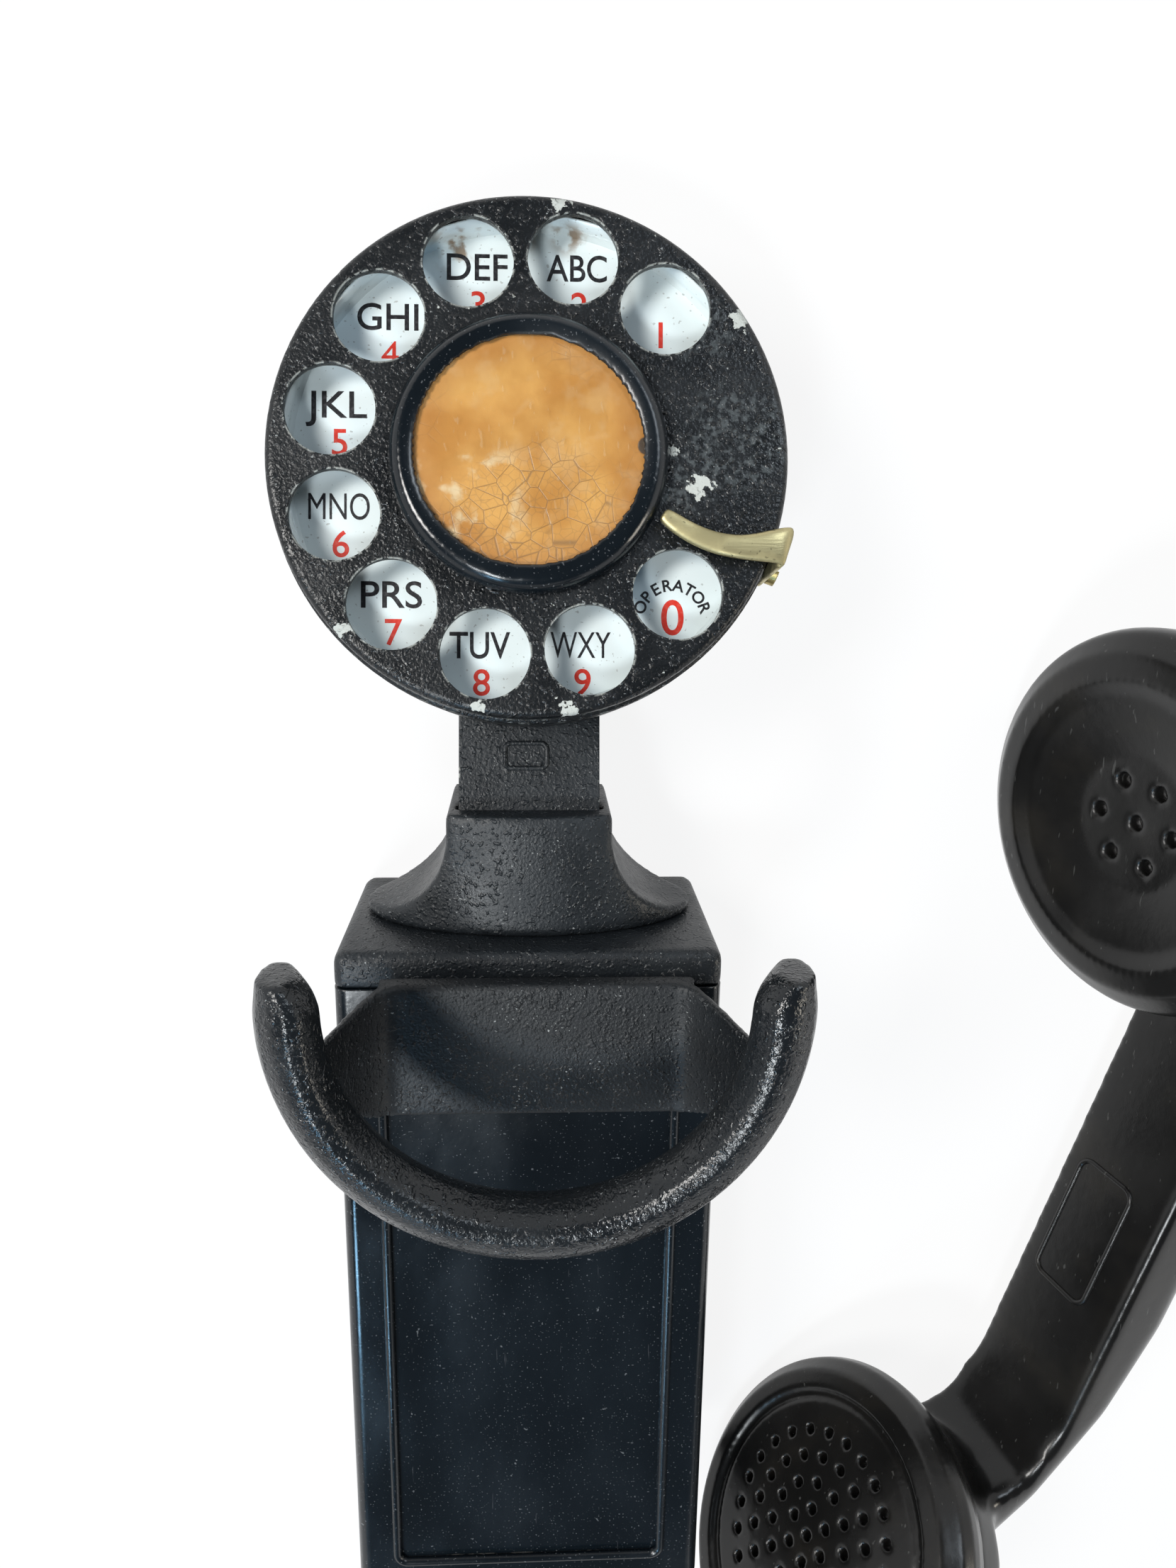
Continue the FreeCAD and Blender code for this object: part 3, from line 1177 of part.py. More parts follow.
def make_handle():
    half = grip_span / 2
    inner = -grip_back
    outer = inner - grip_thickness
    back_side = [(half + 11, inner + 15), (half + 1, outer + grip_thickness * 1.43),
                 (half * 0.8, outer + grip_thickness * 0.73), (half * 0.53, outer + grip_thickness * 0.22),
                 (half * 0.24, outer)]
    front_side = [(half * 0.56, inner), (half * 0.71, inner + 3.5), (half * 0.77, inner + 11),
                  (half * 0.88, inner + 17)]
    points = [(-y, z) for y, z in back_side] + back_side[::-1]
    points += front_side[::-1] + [(-y, z) for y, z in front_side]
    bar = pad("grip_bar", "YZ_Plane", points, grip_width, False, True)
    side_reach = (grip_width / 2).value
    back_ends = [(abs(y.value), z.value) for y, z in back_side]

    def on_side(edge):
        limits = edge.BoundBox
        return limits.XMax - limits.XMin < 0.01 and abs(abs(limits.XMax) - side_reach) < 0.01

    def at_back(edge):
        ends = [(abs(vertex.Y), vertex.Z) for vertex in edge.Vertexes]
        near = [any(abs(y - end_y) + abs(z - end_z) < 0.01 for end_y, end_z in back_ends) for y, z in ends]
        return on_side(edge) and all(near)

    add_fillet(bar, at_back, grip_round)
    seat = cap_seat()
    bottom = seat - cup_depth
    floor = bottom + shell_wall
    shoulder = seat - cup_depth * 0.6
    cups = []
    tools = []
    for side in (1, -1):
        cup = turned("cup", [
            (0, bottom), (cup_radius - 10, bottom), (cup_radius - 1.2, shoulder),
            (cup_radius, seat - cup_depth * 0.2), (cup_radius + 0.6, seat), (0, seat)])
        hollow = turned("cup_hollow", [
            (0, floor), (cup_radius - 14, floor), (cup_radius - shell_wall * 1.6, shoulder + shell_wall * 0.6),
            (chamber_radius(), seat - cup_depth * 0.25), (chamber_radius(), 0), (0, 0)])
        for thing in (cup, hollow):
            thing.setExpression("Placement", local_lean(side))
        cups.append(cup)
        tools.append(hollow)
        rise = cylinder(wire_bore, grip_thickness * 1.8)
        climb = 32 if side > 0 else 148
        tools.append(place(rise, (0, half * 0.59 * side, inner - grip_thickness * 0.35), ((X_AXIS, climb - 90),)))
    tools.append(cylinder(wire_bore, half * 1.2, (0, half * -0.6, inner - grip_thickness * 0.35), "y"))
    tools.append(cylinder(cord_hole / 2, cup_radius, (0, -half - cup_radius * 1.6, -earcap_depth - 1), "y"))
    subpart("handset_handle", cut(fuse(bar, *cups), *tools), handset_frame)


make_wall_plate()
make_cover()
make_cover_screws()
make_grommets()
make_top_cap()
make_cap_screws()
make_hook()
make_hook_frame()
make_return_spring()
make_switch_pile()
make_terminals()
make_pedestal()
make_bracket()
make_case()
make_finger_stop()
make_frame_plate()
make_number_plate()
make_wheel()
make_card()
make_shaft()
make_rear_plate()
make_train()
make_mainspring()
make_receiver_cap()
make_transmitter_cap()
make_units()
make_handle()

doc.recompute()

for thing in doc.Objects:
    if "Invalid" in thing.State or "Error" in thing.State:
        raise RuntimeError(f"{thing.Label} did not build: {thing.State}")
for thing in subparts:
    if thing.Shape.isNull() or not thing.Shape.isValid():
        raise RuntimeError(f"{thing.Label} has no sound shape")

os.makedirs("parts", exist_ok=True)
for thing in subparts:
    thing.Shape.exportStep(os.path.join("parts", f"{thing.Label}.step"))
    print(f"{thing.Label}: {len(thing.Shape.Solids)} solids, {thing.Shape.Volume:.0f} mm3")
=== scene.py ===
import json
import math

import bmesh
import bpy
from mathutils import Matrix, Vector


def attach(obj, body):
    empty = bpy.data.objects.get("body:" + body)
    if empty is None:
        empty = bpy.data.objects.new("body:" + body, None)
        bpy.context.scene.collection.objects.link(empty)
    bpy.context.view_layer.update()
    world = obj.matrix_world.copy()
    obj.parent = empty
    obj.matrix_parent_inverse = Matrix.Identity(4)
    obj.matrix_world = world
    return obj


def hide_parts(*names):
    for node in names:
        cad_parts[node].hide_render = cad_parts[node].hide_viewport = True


# Looks of the wall telephone: softened castings, dial lettering, materials, light and camera.
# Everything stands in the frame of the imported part, which is in metres.
# Sizes of the part are written in millimetres, and MM turns them into metres.

MM = 0.001
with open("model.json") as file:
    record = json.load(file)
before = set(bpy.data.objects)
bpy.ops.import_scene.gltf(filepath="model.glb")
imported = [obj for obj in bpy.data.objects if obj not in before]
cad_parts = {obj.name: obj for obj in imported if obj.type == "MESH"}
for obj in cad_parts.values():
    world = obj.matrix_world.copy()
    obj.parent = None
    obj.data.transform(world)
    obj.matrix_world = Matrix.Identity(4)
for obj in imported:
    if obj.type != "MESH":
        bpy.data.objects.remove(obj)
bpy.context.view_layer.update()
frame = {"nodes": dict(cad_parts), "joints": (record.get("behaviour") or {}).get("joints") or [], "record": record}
nodes = frame["nodes"]
scene = bpy.context.scene
slot_of = {row["node"]: row["material_slot"] for row in frame["record"]["subparts"]}
body_of = {node: body for body, members in frame["record"]["behaviour"]["bodies"].items() for node in members}

# Frame of the dial, from its joint, whose axis points into the dial
dial_joint = next(joint for joint in frame["joints"] if joint["name"] == "dial_turn")
dial_middle = Vector(dial_joint["pos_m"])
dial_out = -Vector(dial_joint["axis"])
dial_side = Vector((1, 0, 0))
dial_up = dial_out.cross(dial_side)
dial_matrix = Matrix((dial_side, dial_up, dial_out)).transposed().to_4x4()
dial_matrix.translation = dial_middle

# Direction of the handset as it lies on the table
HANDSET_TURN = math.radians(17)
handset_along = Matrix.Rotation(-HANDSET_TURN, 3, "Z") @ Vector((0, 1, 0))

# Finger holes: the first one's direction, the step to the next, and the radius of their circle
FIRST_HOLE = math.radians(47.5)
HOLE_STEP = math.radians(30)
HOLE_CIRCLE = 29.4 * MM
HOLE_LETTERS = ("", "ABC", "DEF", "GHI", "JKL", "MNO", "PRS", "TUV", "WXY", "OPERATOR")
HOLE_DIGITS = "1234567890"


def dial_level(node):
    """Height of a node's front along the dial's axis."""
    return max((vertex.co - dial_middle).dot(dial_out) for vertex in nodes[node].data.vertices)


def on_dial(x, y, level=0.0):
    """A place of the part by millimetres across, up and out from the dial's middle."""
    return dial_matrix @ (Vector((x, y, level)) * MM)


def hole_place(index):
    angle = FIRST_HOLE + HOLE_STEP * index
    return Vector((math.cos(angle), math.sin(angle), 0)) * HOLE_CIRCLE


# Shader nodes in short form

BEVEL_SAMPLES = 6


class Graph:
    """One material and the nodes that feed its Principled shader."""

    def __init__(self, name):
        self.material = bpy.data.materials.new(name)
        self.material.use_nodes = True
        self.tree = self.material.node_tree
        self.shader = self.tree.nodes["Principled BSDF"]
        self.place = self.add("ShaderNodeTexCoord").outputs["Object"]

    def add(self, kind, **settings):
        node = self.tree.nodes.new(kind)
        for field, value in settings.items():
            setattr(node, field, value)
        return node

    def feed(self, socket, value):
        if isinstance(value, bpy.types.NodeSocket):
            self.tree.links.new(value, socket)
        else:
            socket.default_value = value

    def set(self, **inputs):
        """Feed the shader; an underscore stands for a space in an input's name."""
        for name, value in inputs.items():
            self.feed(self.shader.inputs[name.replace("_", " ")], value)

    def calc(self, operation, first, second):
        node = self.add("ShaderNodeMath", operation=operation)
        self.feed(node.inputs[0], first)
        self.feed(node.inputs[1], second)
        return node.outputs[0]

    def noise(self, grain, detail=3.0, stretch=(1, 1, 1), shift=0.0):
        """Cloudy noise between 0 and 1 with lumps of about this many millimetres."""
        mapping = self.add("ShaderNodeMapping")
        self.feed(mapping.inputs["Vector"], self.place)
        mapping.inputs["Scale"].default_value = stretch
        mapping.inputs["Location"].default_value = (shift, shift, shift)
        node = self.add("ShaderNodeTexNoise")
        self.feed(node.inputs["Vector"], mapping.outputs[0])
        node.inputs["Scale"].default_value = 1 / (grain * MM)
        node.inputs["Detail"].default_value = detail
        return node.outputs["Fac"]

    def cells(self, grain):
        """Distance from the borders of cells of about this many millimetres."""
        node = self.add("ShaderNodeTexVoronoi", feature="DISTANCE_TO_EDGE")
        self.feed(node.inputs["Vector"], self.place)
        node.inputs["Scale"].default_value = 1 / (grain * MM)
        return node.outputs["Distance"]

    def ramp(self, value, low, high, start=0.0, end=1.0):
        """Carry low to start and high to end, and hold both outside."""
        node = self.add("ShaderNodeMapRange", interpolation_type="SMOOTHSTEP")
        self.feed(node.inputs["Value"], value)
        for name, number in (("From Min", low), ("From Max", high), ("To Min", start), ("To Max", end)):
            node.inputs[name].default_value = number
        return node.outputs["Result"]

    def blend(self, share, first, second):
        """Mix two colours, of which the second has this share."""
        node = self.add("ShaderNodeMix", data_type="RGBA")
        self.feed(node.inputs["Factor"], share)
        for socket, colour in zip(node.inputs[6:8], (first, second)):
            self.feed(socket, colour if isinstance(colour, bpy.types.NodeSocket) else (*colour, 1.0))
        return node.outputs[2]

    def near(self, point, reach):
        """1 at a point of the part, falling to 0 at this reach."""
        node = self.add("ShaderNodeVectorMath", operation="DISTANCE")
        self.feed(node.inputs[0], self.place)
        node.inputs[1].default_value = point
        return self.ramp(node.outputs["Value"], 0, reach, 1, 0)

    def height(self):
        """How far a point of the part stands before the wall."""
        node = self.add("ShaderNodeSeparateXYZ")
        self.feed(node.inputs[0], self.place)
        return node.outputs["Z"]

    def edges(self, width):
        """1 on sharp edges, 0 on flat faces, about this many millimetres wide."""
        dot = self.add("ShaderNodeVectorMath", operation="DOT_PRODUCT")
        self.feed(dot.inputs[0], self.rounded(width))
        self.feed(dot.inputs[1], self.add("ShaderNodeNewGeometry").outputs["Normal"])
        return self.ramp(dot.outputs["Value"], 0.97, 0.80)

    def bump(self, height, depth, under=None):
        """A normal for relief of this many millimetres, laid over another normal."""
        node = self.add("ShaderNodeBump")
        node.inputs["Distance"].default_value = depth * MM
        self.feed(node.inputs["Height"], height)
        if under is not None:
            self.feed(node.inputs["Normal"], under)
        return node.outputs[0]

    def rounded(self, radius):
        """A normal that rounds sharp edges by this many millimetres."""
        node = self.add("ShaderNodeBevel", samples=BEVEL_SAMPLES)
        node.inputs["Radius"].default_value = radius * MM
        return node.outputs[0]


# Materials

# Heights before the wall between which a casting goes from dull to its own gloss
DULL_BEHIND = 46.0
DULL_ENDS = 60.0
# Brown stains of the number plate: across and up from its middle, and reach
PLATE_STAINS = ((-10.5, 33.5, 6.0), (6.0, 35.5, 4.5), (-1.0, 35.0, 3.5))
PLATE_LEVEL = -6.5
CARD_LEVEL = 2.0


def cast_black(name, chips, spots=(), rubs=(), gloss=0.30, dull=None, pale=1.0):
    """Black japan over a rough casting, with pale chips, rubbed places and painted glints, and duller towards the
    wall.
    """
    graph = Graph(name)
    haze = graph.noise(11, detail=5)
    peel = graph.noise(0.5, detail=1.5)
    pimples = graph.ramp(graph.noise(0.9, detail=1, shift=0.4), 0.55, 0.72)
    # pale scales the japan's base colour; above 1 it is painted sheen, a lighter copy of the same black that
    # stands in for light the casting catches.
    deep = [pale * part for part in (0.002, 0.0025, 0.003)]
    hazy = [pale * part for part in (0.007, 0.009, 0.011)]
    colour = graph.blend(haze, deep, hazy)
    # Painted glints: sparse bright grey specks in the colour stand in for light caught by the rough casting's
    # bumps.
    painted_glints = graph.ramp(graph.noise(0.42, detail=1, shift=0.3), 0.68, 0.76, 0, 0.7)
    rare = graph.ramp(graph.noise(5, detail=3, shift=0.8), 0.45, 0.62)
    colour = graph.blend(graph.calc("MULTIPLY", painted_glints, rare), colour, (0.36, 0.38, 0.38))
    flakes = graph.noise(1.3, detail=8, shift=0.7)
    streaks = graph.ramp(graph.noise(1.1, detail=6, shift=0.2), 0.46, 0.66, 0, 0.75)
    for point, reach in rubs:
        thin = graph.calc("MULTIPLY", graph.ramp(graph.near(point, reach), 0.1, 0.7), streaks)
        colour = graph.blend(thin, colour, (0.075, 0.085, 0.088))
    worn = graph.calc("MULTIPLY", graph.edges(0.7), graph.ramp(flakes, 0.66 - chips, 0.70 - chips))
    ragged = graph.calc("MULTIPLY", graph.calc("SUBTRACT", flakes, 0.5), 2.6)
    for point, reach in spots:
        patch = graph.calc("ADD", graph.near(point, reach), ragged)
        worn = graph.calc("MAXIMUM", worn, graph.ramp(patch, 0.52, 0.60))
    colour = graph.blend(worn, colour, graph.blend(haze, (0.36, 0.38, 0.36), (0.56, 0.58, 0.54)))
    normal = graph.bump(peel, 0.11, graph.rounded(0.45))
    normal = graph.bump(pimples, 0.13, normal)
    normal = graph.bump(graph.calc("SUBTRACT", 1.0, worn), 0.10, normal)
    rough = graph.ramp(haze, 0.3, 0.7, gloss, gloss + 0.14)
    if dull is not None:
        behind = graph.ramp(graph.height(), DULL_BEHIND * MM, DULL_ENDS * MM, dull, 0)
        rough = graph.calc("ADD", rough, behind)
    rough = graph.calc("MAXIMUM", rough, graph.calc("MULTIPLY", worn, 0.7))
    graph.set(Base_Color=colour, Roughness=rough, Normal=normal)
    graph.set(IOR=1.45)
    return graph.material


def gloss_black(name):
    """Smooth enamel on the pressed cover: dust, fine scratches and rubbed edges."""
    graph = Graph(name)
    smear = graph.noise(18, detail=6, stretch=(1, 0.5, 1))
    colour = graph.blend(smear, (0.002, 0.003, 0.004), (0.005, 0.009, 0.013))
    dust = graph.ramp(graph.noise(1.0, detail=2, shift=0.4), 0.72, 0.78, 0, 0.55)
    lint = graph.ramp(graph.noise(0.35, detail=0, shift=0.9), 0.76, 0.80, 0, 0.4)
    colour = graph.blend(graph.calc("MAXIMUM", dust, lint), colour, (0.17, 0.18, 0.19))
    scratch = graph.ramp(graph.noise(0.5, detail=2, stretch=(1, 0.06, 1)), 0.73, 0.78, 0, 0.25)
    colour = graph.blend(scratch, colour, (0.10, 0.10, 0.11))
    patchy = graph.ramp(graph.noise(5, detail=5), 0.52, 0.60, 0, 0.6)
    rubbed = graph.calc("MULTIPLY", graph.edges(0.6), patchy)
    colour = graph.blend(rubbed, colour, (0.20, 0.19, 0.17))
    normal = graph.bump(graph.noise(7, detail=1), 0.10, graph.rounded(0.5))
    normal = graph.bump(graph.noise(0.9, detail=1), 0.012, normal)
    graph.set(Base_Color=colour, Roughness=graph.ramp(smear, 0.3, 0.75, 0.10, 0.28), Normal=normal)
    graph.set(IOR=1.5)
    return graph.material


def moulded_black(name):
    """Satin black moulding compound with handling scuffs and random warm brown patches, partly aged browning and
    partly painted warm sheen.
    """
    graph = Graph(name)
    cloud = graph.noise(22, detail=5)
    colour = graph.blend(cloud, (0.004, 0.004, 0.004), (0.009, 0.0085, 0.008))
    scuffs = graph.ramp(graph.noise(0.6, detail=2, stretch=(1, 0.12, 0.6)), 0.69, 0.75, 0, 0.4)
    colour = graph.blend(scuffs, colour, (0.10, 0.10, 0.095))
    # Warm brown patches at random: partly aged browning of the compound, partly a painted warm sheen.
    bloom_and_warm_sheen = graph.ramp(graph.noise(16, detail=5, shift=0.6), 0.50, 0.72, 0, 0.25)
    colour = graph.blend(bloom_and_warm_sheen, colour, (0.030, 0.026, 0.020))
    normal = graph.bump(graph.noise(2.4, detail=2), 0.03, graph.rounded(0.5))
    normal = graph.bump(graph.noise(0.25, detail=1), 0.006, normal)
    graph.set(Base_Color=colour, Roughness=graph.ramp(cloud, 0.3, 0.7, 0.18, 0.32), Normal=normal)
    graph.set(IOR=1.42)
    return graph.material


def porcelain(name):
    """Bluish white enamel of the number plate, with brown stains at its top edge."""
    graph = Graph(name)
    cloud = graph.noise(10, detail=4)
    colour = graph.blend(cloud, (0.66, 0.75, 0.76), (0.76, 0.83, 0.83))
    stain_cloud = graph.ramp(graph.noise(3.2, detail=5, shift=0.2), 0.48, 0.62)
    for x, y, reach in PLATE_STAINS:
        stain = graph.calc("MULTIPLY", graph.near(on_dial(x, y, PLATE_LEVEL), reach * MM), stain_cloud)
        colour = graph.blend(graph.calc("MINIMUM", stain, 0.8), colour, (0.22, 0.12, 0.04))
    pits = graph.ramp(graph.noise(0.5, detail=0), 0.76, 0.80, 0, 0.5)
    colour = graph.blend(pits, colour, (0.25, 0.24, 0.22))
    graph.set(Base_Color=colour, Roughness=graph.ramp(cloud, 0.3, 0.7, 0.12, 0.26),
              Normal=graph.bump(graph.noise(5, detail=2), 0.04))
    graph.set(Coat_Weight=0.4, Coat_Roughness=0.08)
    return graph.material


def old_card(name):
    """Yellowed varnished card with crackle, rubbed patches and a dark nick."""
    graph = Graph(name)
    cloud = graph.noise(9, detail=5)
    colour = graph.blend(graph.ramp(cloud, 0.3, 0.7), (0.44, 0.19, 0.030), (0.60, 0.31, 0.065))
    # Darker towards the card's edge, under the ring.
    rim = graph.near(on_dial(0, 0, CARD_LEVEL), 19 * MM)
    colour = graph.blend(graph.ramp(rim, 0.0, 0.35, 0.55, 0), colour, (0.34, 0.12, 0.015))
    rubbed = graph.near(on_dial(-10, -7, CARD_LEVEL), 15 * MM)
    pale = graph.ramp(graph.noise(4.0, detail=8, shift=0.5), 0.52, 0.68, 0, 0.8)
    pale = graph.calc("MULTIPLY", pale, graph.ramp(rubbed, 0.1, 0.7, 0.15, 1))
    colour = graph.blend(pale, colour, (0.66, 0.54, 0.33))
    broad = graph.ramp(graph.cells(3.0), 0.0, 0.035, 0.75, 0)
    lower = graph.near(on_dial(2, -14, CARD_LEVEL), 20 * MM)
    where = graph.ramp(graph.calc("ADD", graph.noise(12, detail=2, shift=0.1), lower), 0.45, 0.9)
    crackle = graph.calc("MULTIPLY", broad, where)
    fine = graph.calc("MULTIPLY", graph.ramp(graph.cells(1.4), 0.0, 0.06, 0.4, 0), where)
    colour = graph.blend(graph.calc("MAXIMUM", crackle, fine), colour, (0.20, 0.10, 0.03))
    nick = graph.near(on_dial(16.9, 1.0, CARD_LEVEL), 2.0 * MM)
    colour = graph.blend(graph.ramp(nick, 0.15, 0.35), colour, (0.05, 0.03, 0.02))
    graph.set(Base_Color=colour, Roughness=graph.ramp(cloud, 0.3, 0.7, 0.34, 0.55),
              Normal=graph.bump(graph.calc("SUBTRACT", 1.0, crackle), 0.05))
    return graph.material


def window_film(name):
    """Thin clear film over the card, faintly yellow and scratched."""
    graph = Graph(name)
    scratch = graph.ramp(graph.noise(0.5, detail=1, stretch=(1, 0.05, 1)), 0.68, 0.72, 0.04, 0.16)
    graph.set(Base_Color=(0.60, 0.52, 0.36, 1), Roughness=graph.ramp(graph.noise(8), 0.3, 0.7, 0.05, 0.2),
              Alpha=scratch)
    return graph.material


def old_metal(name, bright, dark, metallic=1.0, rough=0.34):
    """Bare metal with brushing and dull, darker tarnish."""
    graph = Graph(name)
    tarnish = graph.ramp(graph.noise(6, detail=6), 0.40, 0.66)
    colour = graph.blend(tarnish, bright, dark)
    brush = graph.noise(0.25, detail=1, stretch=(0.06, 1, 1))
    pits = graph.ramp(graph.noise(0.7, detail=1, shift=0.8), 0.68, 0.74, 0, 0.6)
    colour = graph.blend(pits, colour, [0.4 * part for part in dark])
    normal = graph.bump(brush, 0.02, graph.rounded(0.2))
    graph.set(Base_Color=colour, Roughness=graph.ramp(tarnish, 0, 1, rough, rough + 0.22), Normal=normal)
    graph.set(Metallic=metallic)
    return graph.material


def pressed_board(name, light, dark):
    """Laminated fibre or rubber: mottled, dull and slightly grainy."""
    graph = Graph(name)
    mottle = graph.noise(1.6, detail=5, stretch=(1, 1, 3))
    colour = graph.blend(mottle, dark, light)
    graph.set(Base_Color=colour, Roughness=graph.ramp(mottle, 0.3, 0.7, 0.55, 0.8),
              Normal=graph.bump(graph.noise(0.4, detail=2), 0.03, graph.rounded(0.2)))
    return graph.material


def printed(name, colour, worn_colour):
    """Ink on the number plate, a little patchy."""
    graph = Graph(name)
    patch = graph.ramp(graph.noise(0.7, detail=4), 0.45, 0.75, 0, 0.5)
    graph.set(Base_Color=graph.blend(patch, colour, worn_colour), Roughness=graph.ramp(patch, 0, 1, 0.3, 0.5))
    return graph.material


def on_dial_spots(*spots):
    """Places of the wheel and their reaches, for spots given across, up and in reach."""
    return [(on_dial(x, y), reach * MM) for x, y, reach in spots]


wheel_chips = on_dial_spots((24.6, -4.2, 3.2), (30.8, 20.6, 3.0), (4.5, 36.6, 2.4), (6.0, -36.8, 2.6),
                            (-7.5, -36.4, 2.2), (-27.0, -25.5, 2.4), (21.0, 0.6, 1.6))
wheel_rubs = on_dial_spots((30.5, 3.0, 13.0), (22.5, -3.5, 8.0), (25.0, 19.0, 8.0))
wheel_paint = cast_black("wheel_japan", 0.18, wheel_chips, wheel_rubs, gloss=0.26)
# The pale lifts of the castings and the hook are painted sheen.
casting_paint = cast_black("casting_japan", 0.05, gloss=0.38, pale=2.4)
fork_paint = cast_black("fork_japan", 0.08, gloss=0.17, dull=0.28, pale=1.5)
cover_enamel = gloss_black("cover_enamel")
case_enamel = cast_black("case_japan", 0.10, gloss=0.28)
ring_enamel = gloss_black("ring_enamel")
handset_compound = moulded_black("handset_compound")
slot_materials = {
    "black_paint": cover_enamel,
    "black_casting": casting_paint,
    "bakelite": handset_compound,
    "white_enamel": porcelain("plate_enamel"),
    "brass": old_metal("old_brass", (0.50, 0.40, 0.17), (0.20, 0.16, 0.07)),
    "steel": old_metal("old_steel", (0.46, 0.46, 0.47), (0.22, 0.21, 0.20)),
    "unit_shell": old_metal("unit_aluminium", (0.66, 0.66, 0.67), (0.42, 0.42, 0.42), rough=0.28),
    "card_paper": old_card("card_paper"),
    "clear_window": window_film("card_film"),
    "fibre": pressed_board("red_fibre", (0.24, 0.08, 0.045), (0.12, 0.035, 0.02)),
    "rubber": pressed_board("grommet_rubber", (0.035, 0.034, 0.033), (0.015, 0.015, 0.015)),
}
node_materials = {
    "finger_wheel": wheel_paint, "card_ring": ring_enamel, "dial_case": case_enamel, "top_cap": casting_paint,
    "dial_bracket": casting_paint,
    "finger_stop": old_metal("stop_brass", (0.56, 0.49, 0.27), (0.36, 0.32, 0.18), rough=0.40),
}
for node, thing in nodes.items():
    thing.data.materials.clear()
    thing.data.materials.append(node_materials.get(node, slot_materials[slot_of[node]]))


# Castings and mouldings with softened edges

# Corners of a mesh that are closer than this are one corner
WELD = 0.002 * MM
FLOW_SHARE = 0.5


def settle(thing):
    """Turn an object's modifiers into plain mesh."""
    bpy.context.view_layer.update()
    shaped = thing.evaluated_get(bpy.context.evaluated_depsgraph_get())
    mesh = bpy.data.meshes.new_from_object(shaped)
    thing.modifiers.clear()
    thing.data = mesh


def welded(node):
    """A node's mesh as a bmesh whose faces share their corners."""
    shape = bmesh.new()
    shape.from_mesh(nodes[node].data)
    bmesh.ops.remove_doubles(shape, verts=shape.verts, dist=WELD)
    return shape


def finished(name, shape, material, node):
    """Make a smooth piece of a bmesh, with this material, that rides with a node's body."""
    mesh = bpy.data.meshes.new(name)
    shape.to_mesh(mesh)
    shape.free()
    mesh.polygons.foreach_set("use_smooth", [True] * len(mesh.polygons))
    mesh.materials.append(material)
    piece = bpy.data.objects.new(name, mesh)
    scene.collection.objects.link(piece)
    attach(piece, body_of[node])
    return piece


def soften(piece, grain, passes):
    """Fuse an object's shells and let its corners flow together."""
    material = piece.data.materials[0]
    remesh = piece.modifiers.new("even_mesh", "REMESH")
    remesh.mode = "VOXEL"
    remesh.voxel_size = grain * MM
    flow = piece.modifiers.new("soften", "SMOOTH")
    flow.factor = FLOW_SHARE
    flow.iterations = passes
    settle(piece)
    piece.data.polygons.foreach_set("use_smooth", [True] * len(piece.data.polygons))
    piece.data.materials.clear()
    piece.data.materials.append(material)


def softened(node, material, grain, passes):
    """A copy of a node whose sharp corners flow into each other, as in a casting."""
    piece = finished(f"soft_{node}", welded(node), material, node)
    soften(piece, grain, passes)
    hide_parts(node)
    return piece


softened("dial_pedestal", casting_paint, grain=0.7, passes=4)
softened("top_cap", casting_paint, grain=0.7, passes=6)
softened("card_ring", ring_enamel, grain=0.28, passes=12)
softened("receiver_cap", handset_compound, grain=0.5, passes=7)
softened("transmitter_cap", handset_compound, grain=0.45, passes=4)
handle = softened("handset_handle", handset_compound, grain=0.9, passes=26)


# Cradle hook: a swept bow with tapered prongs on a bridge that curls forward to it, in millimetres

HOOK_SIDE = 1.3
BOW_HEIGHT = 69.4
BOW_RADIUS = 33.4
BOW_LEVEL = 69.4
# Outline of the bow, outward from its middle line and forward
BOW_SECTION = ((-4.4, 0.6), (-3.9, 3.3), (-2.6, 5.5), (-0.8, 6.0), (1.4, 5.2), (3.6, 3.2),
               (4.7, 0.6), (4.2, -2.9), (2.8, -5.9), (0.5, -6.1), (-1.6, -5.6), (-3.3, -2.6))
PRONG_TOP = 74.4
PRONG_FLARE = 1.4
PRONG_TAPER = 0.58
ARC_STATIONS = 48
PRONG_STATIONS = 5
BRIDGE_BACK = 42.0
BRIDGE_METAL = 4.0
BRIDGE_FLAT = 23.0
BRIDGE_REACH = 34.0
BRIDGE_RISE = 24.0
BRIDGE_TOP = 62.0
BRIDGE_BOTTOM = 39.5
BRIDGE_TOP_DROP = 3.5
BRIDGE_BOTTOM_RISE = 17.5
BRIDGE_STATIONS = 40
STEM_CUT = 43.0


def add_tube(shape, rows):
    """Skin closed rows of points into a tube with capped ends."""
    rings = [[shape.verts.new(point * MM) for point in row] for row in rows]
    for ring, following in zip(rings, rings[1:]):
        for index in range(len(ring)):
            after = (index + 1) % len(ring)
            shape.faces.new((ring[index], ring[after], following[after], following[index]))
    shape.faces.new(rings[0][::-1])
    shape.faces.new(rings[-1])


def bow_section(middle, outward, share):
    """The bow's outline, narrower by this share, square to its run."""
    forward = Vector((0, 0, (1 + share) / 2))
    return [middle + outward * across * share + forward * along for across, along in BOW_SECTION]


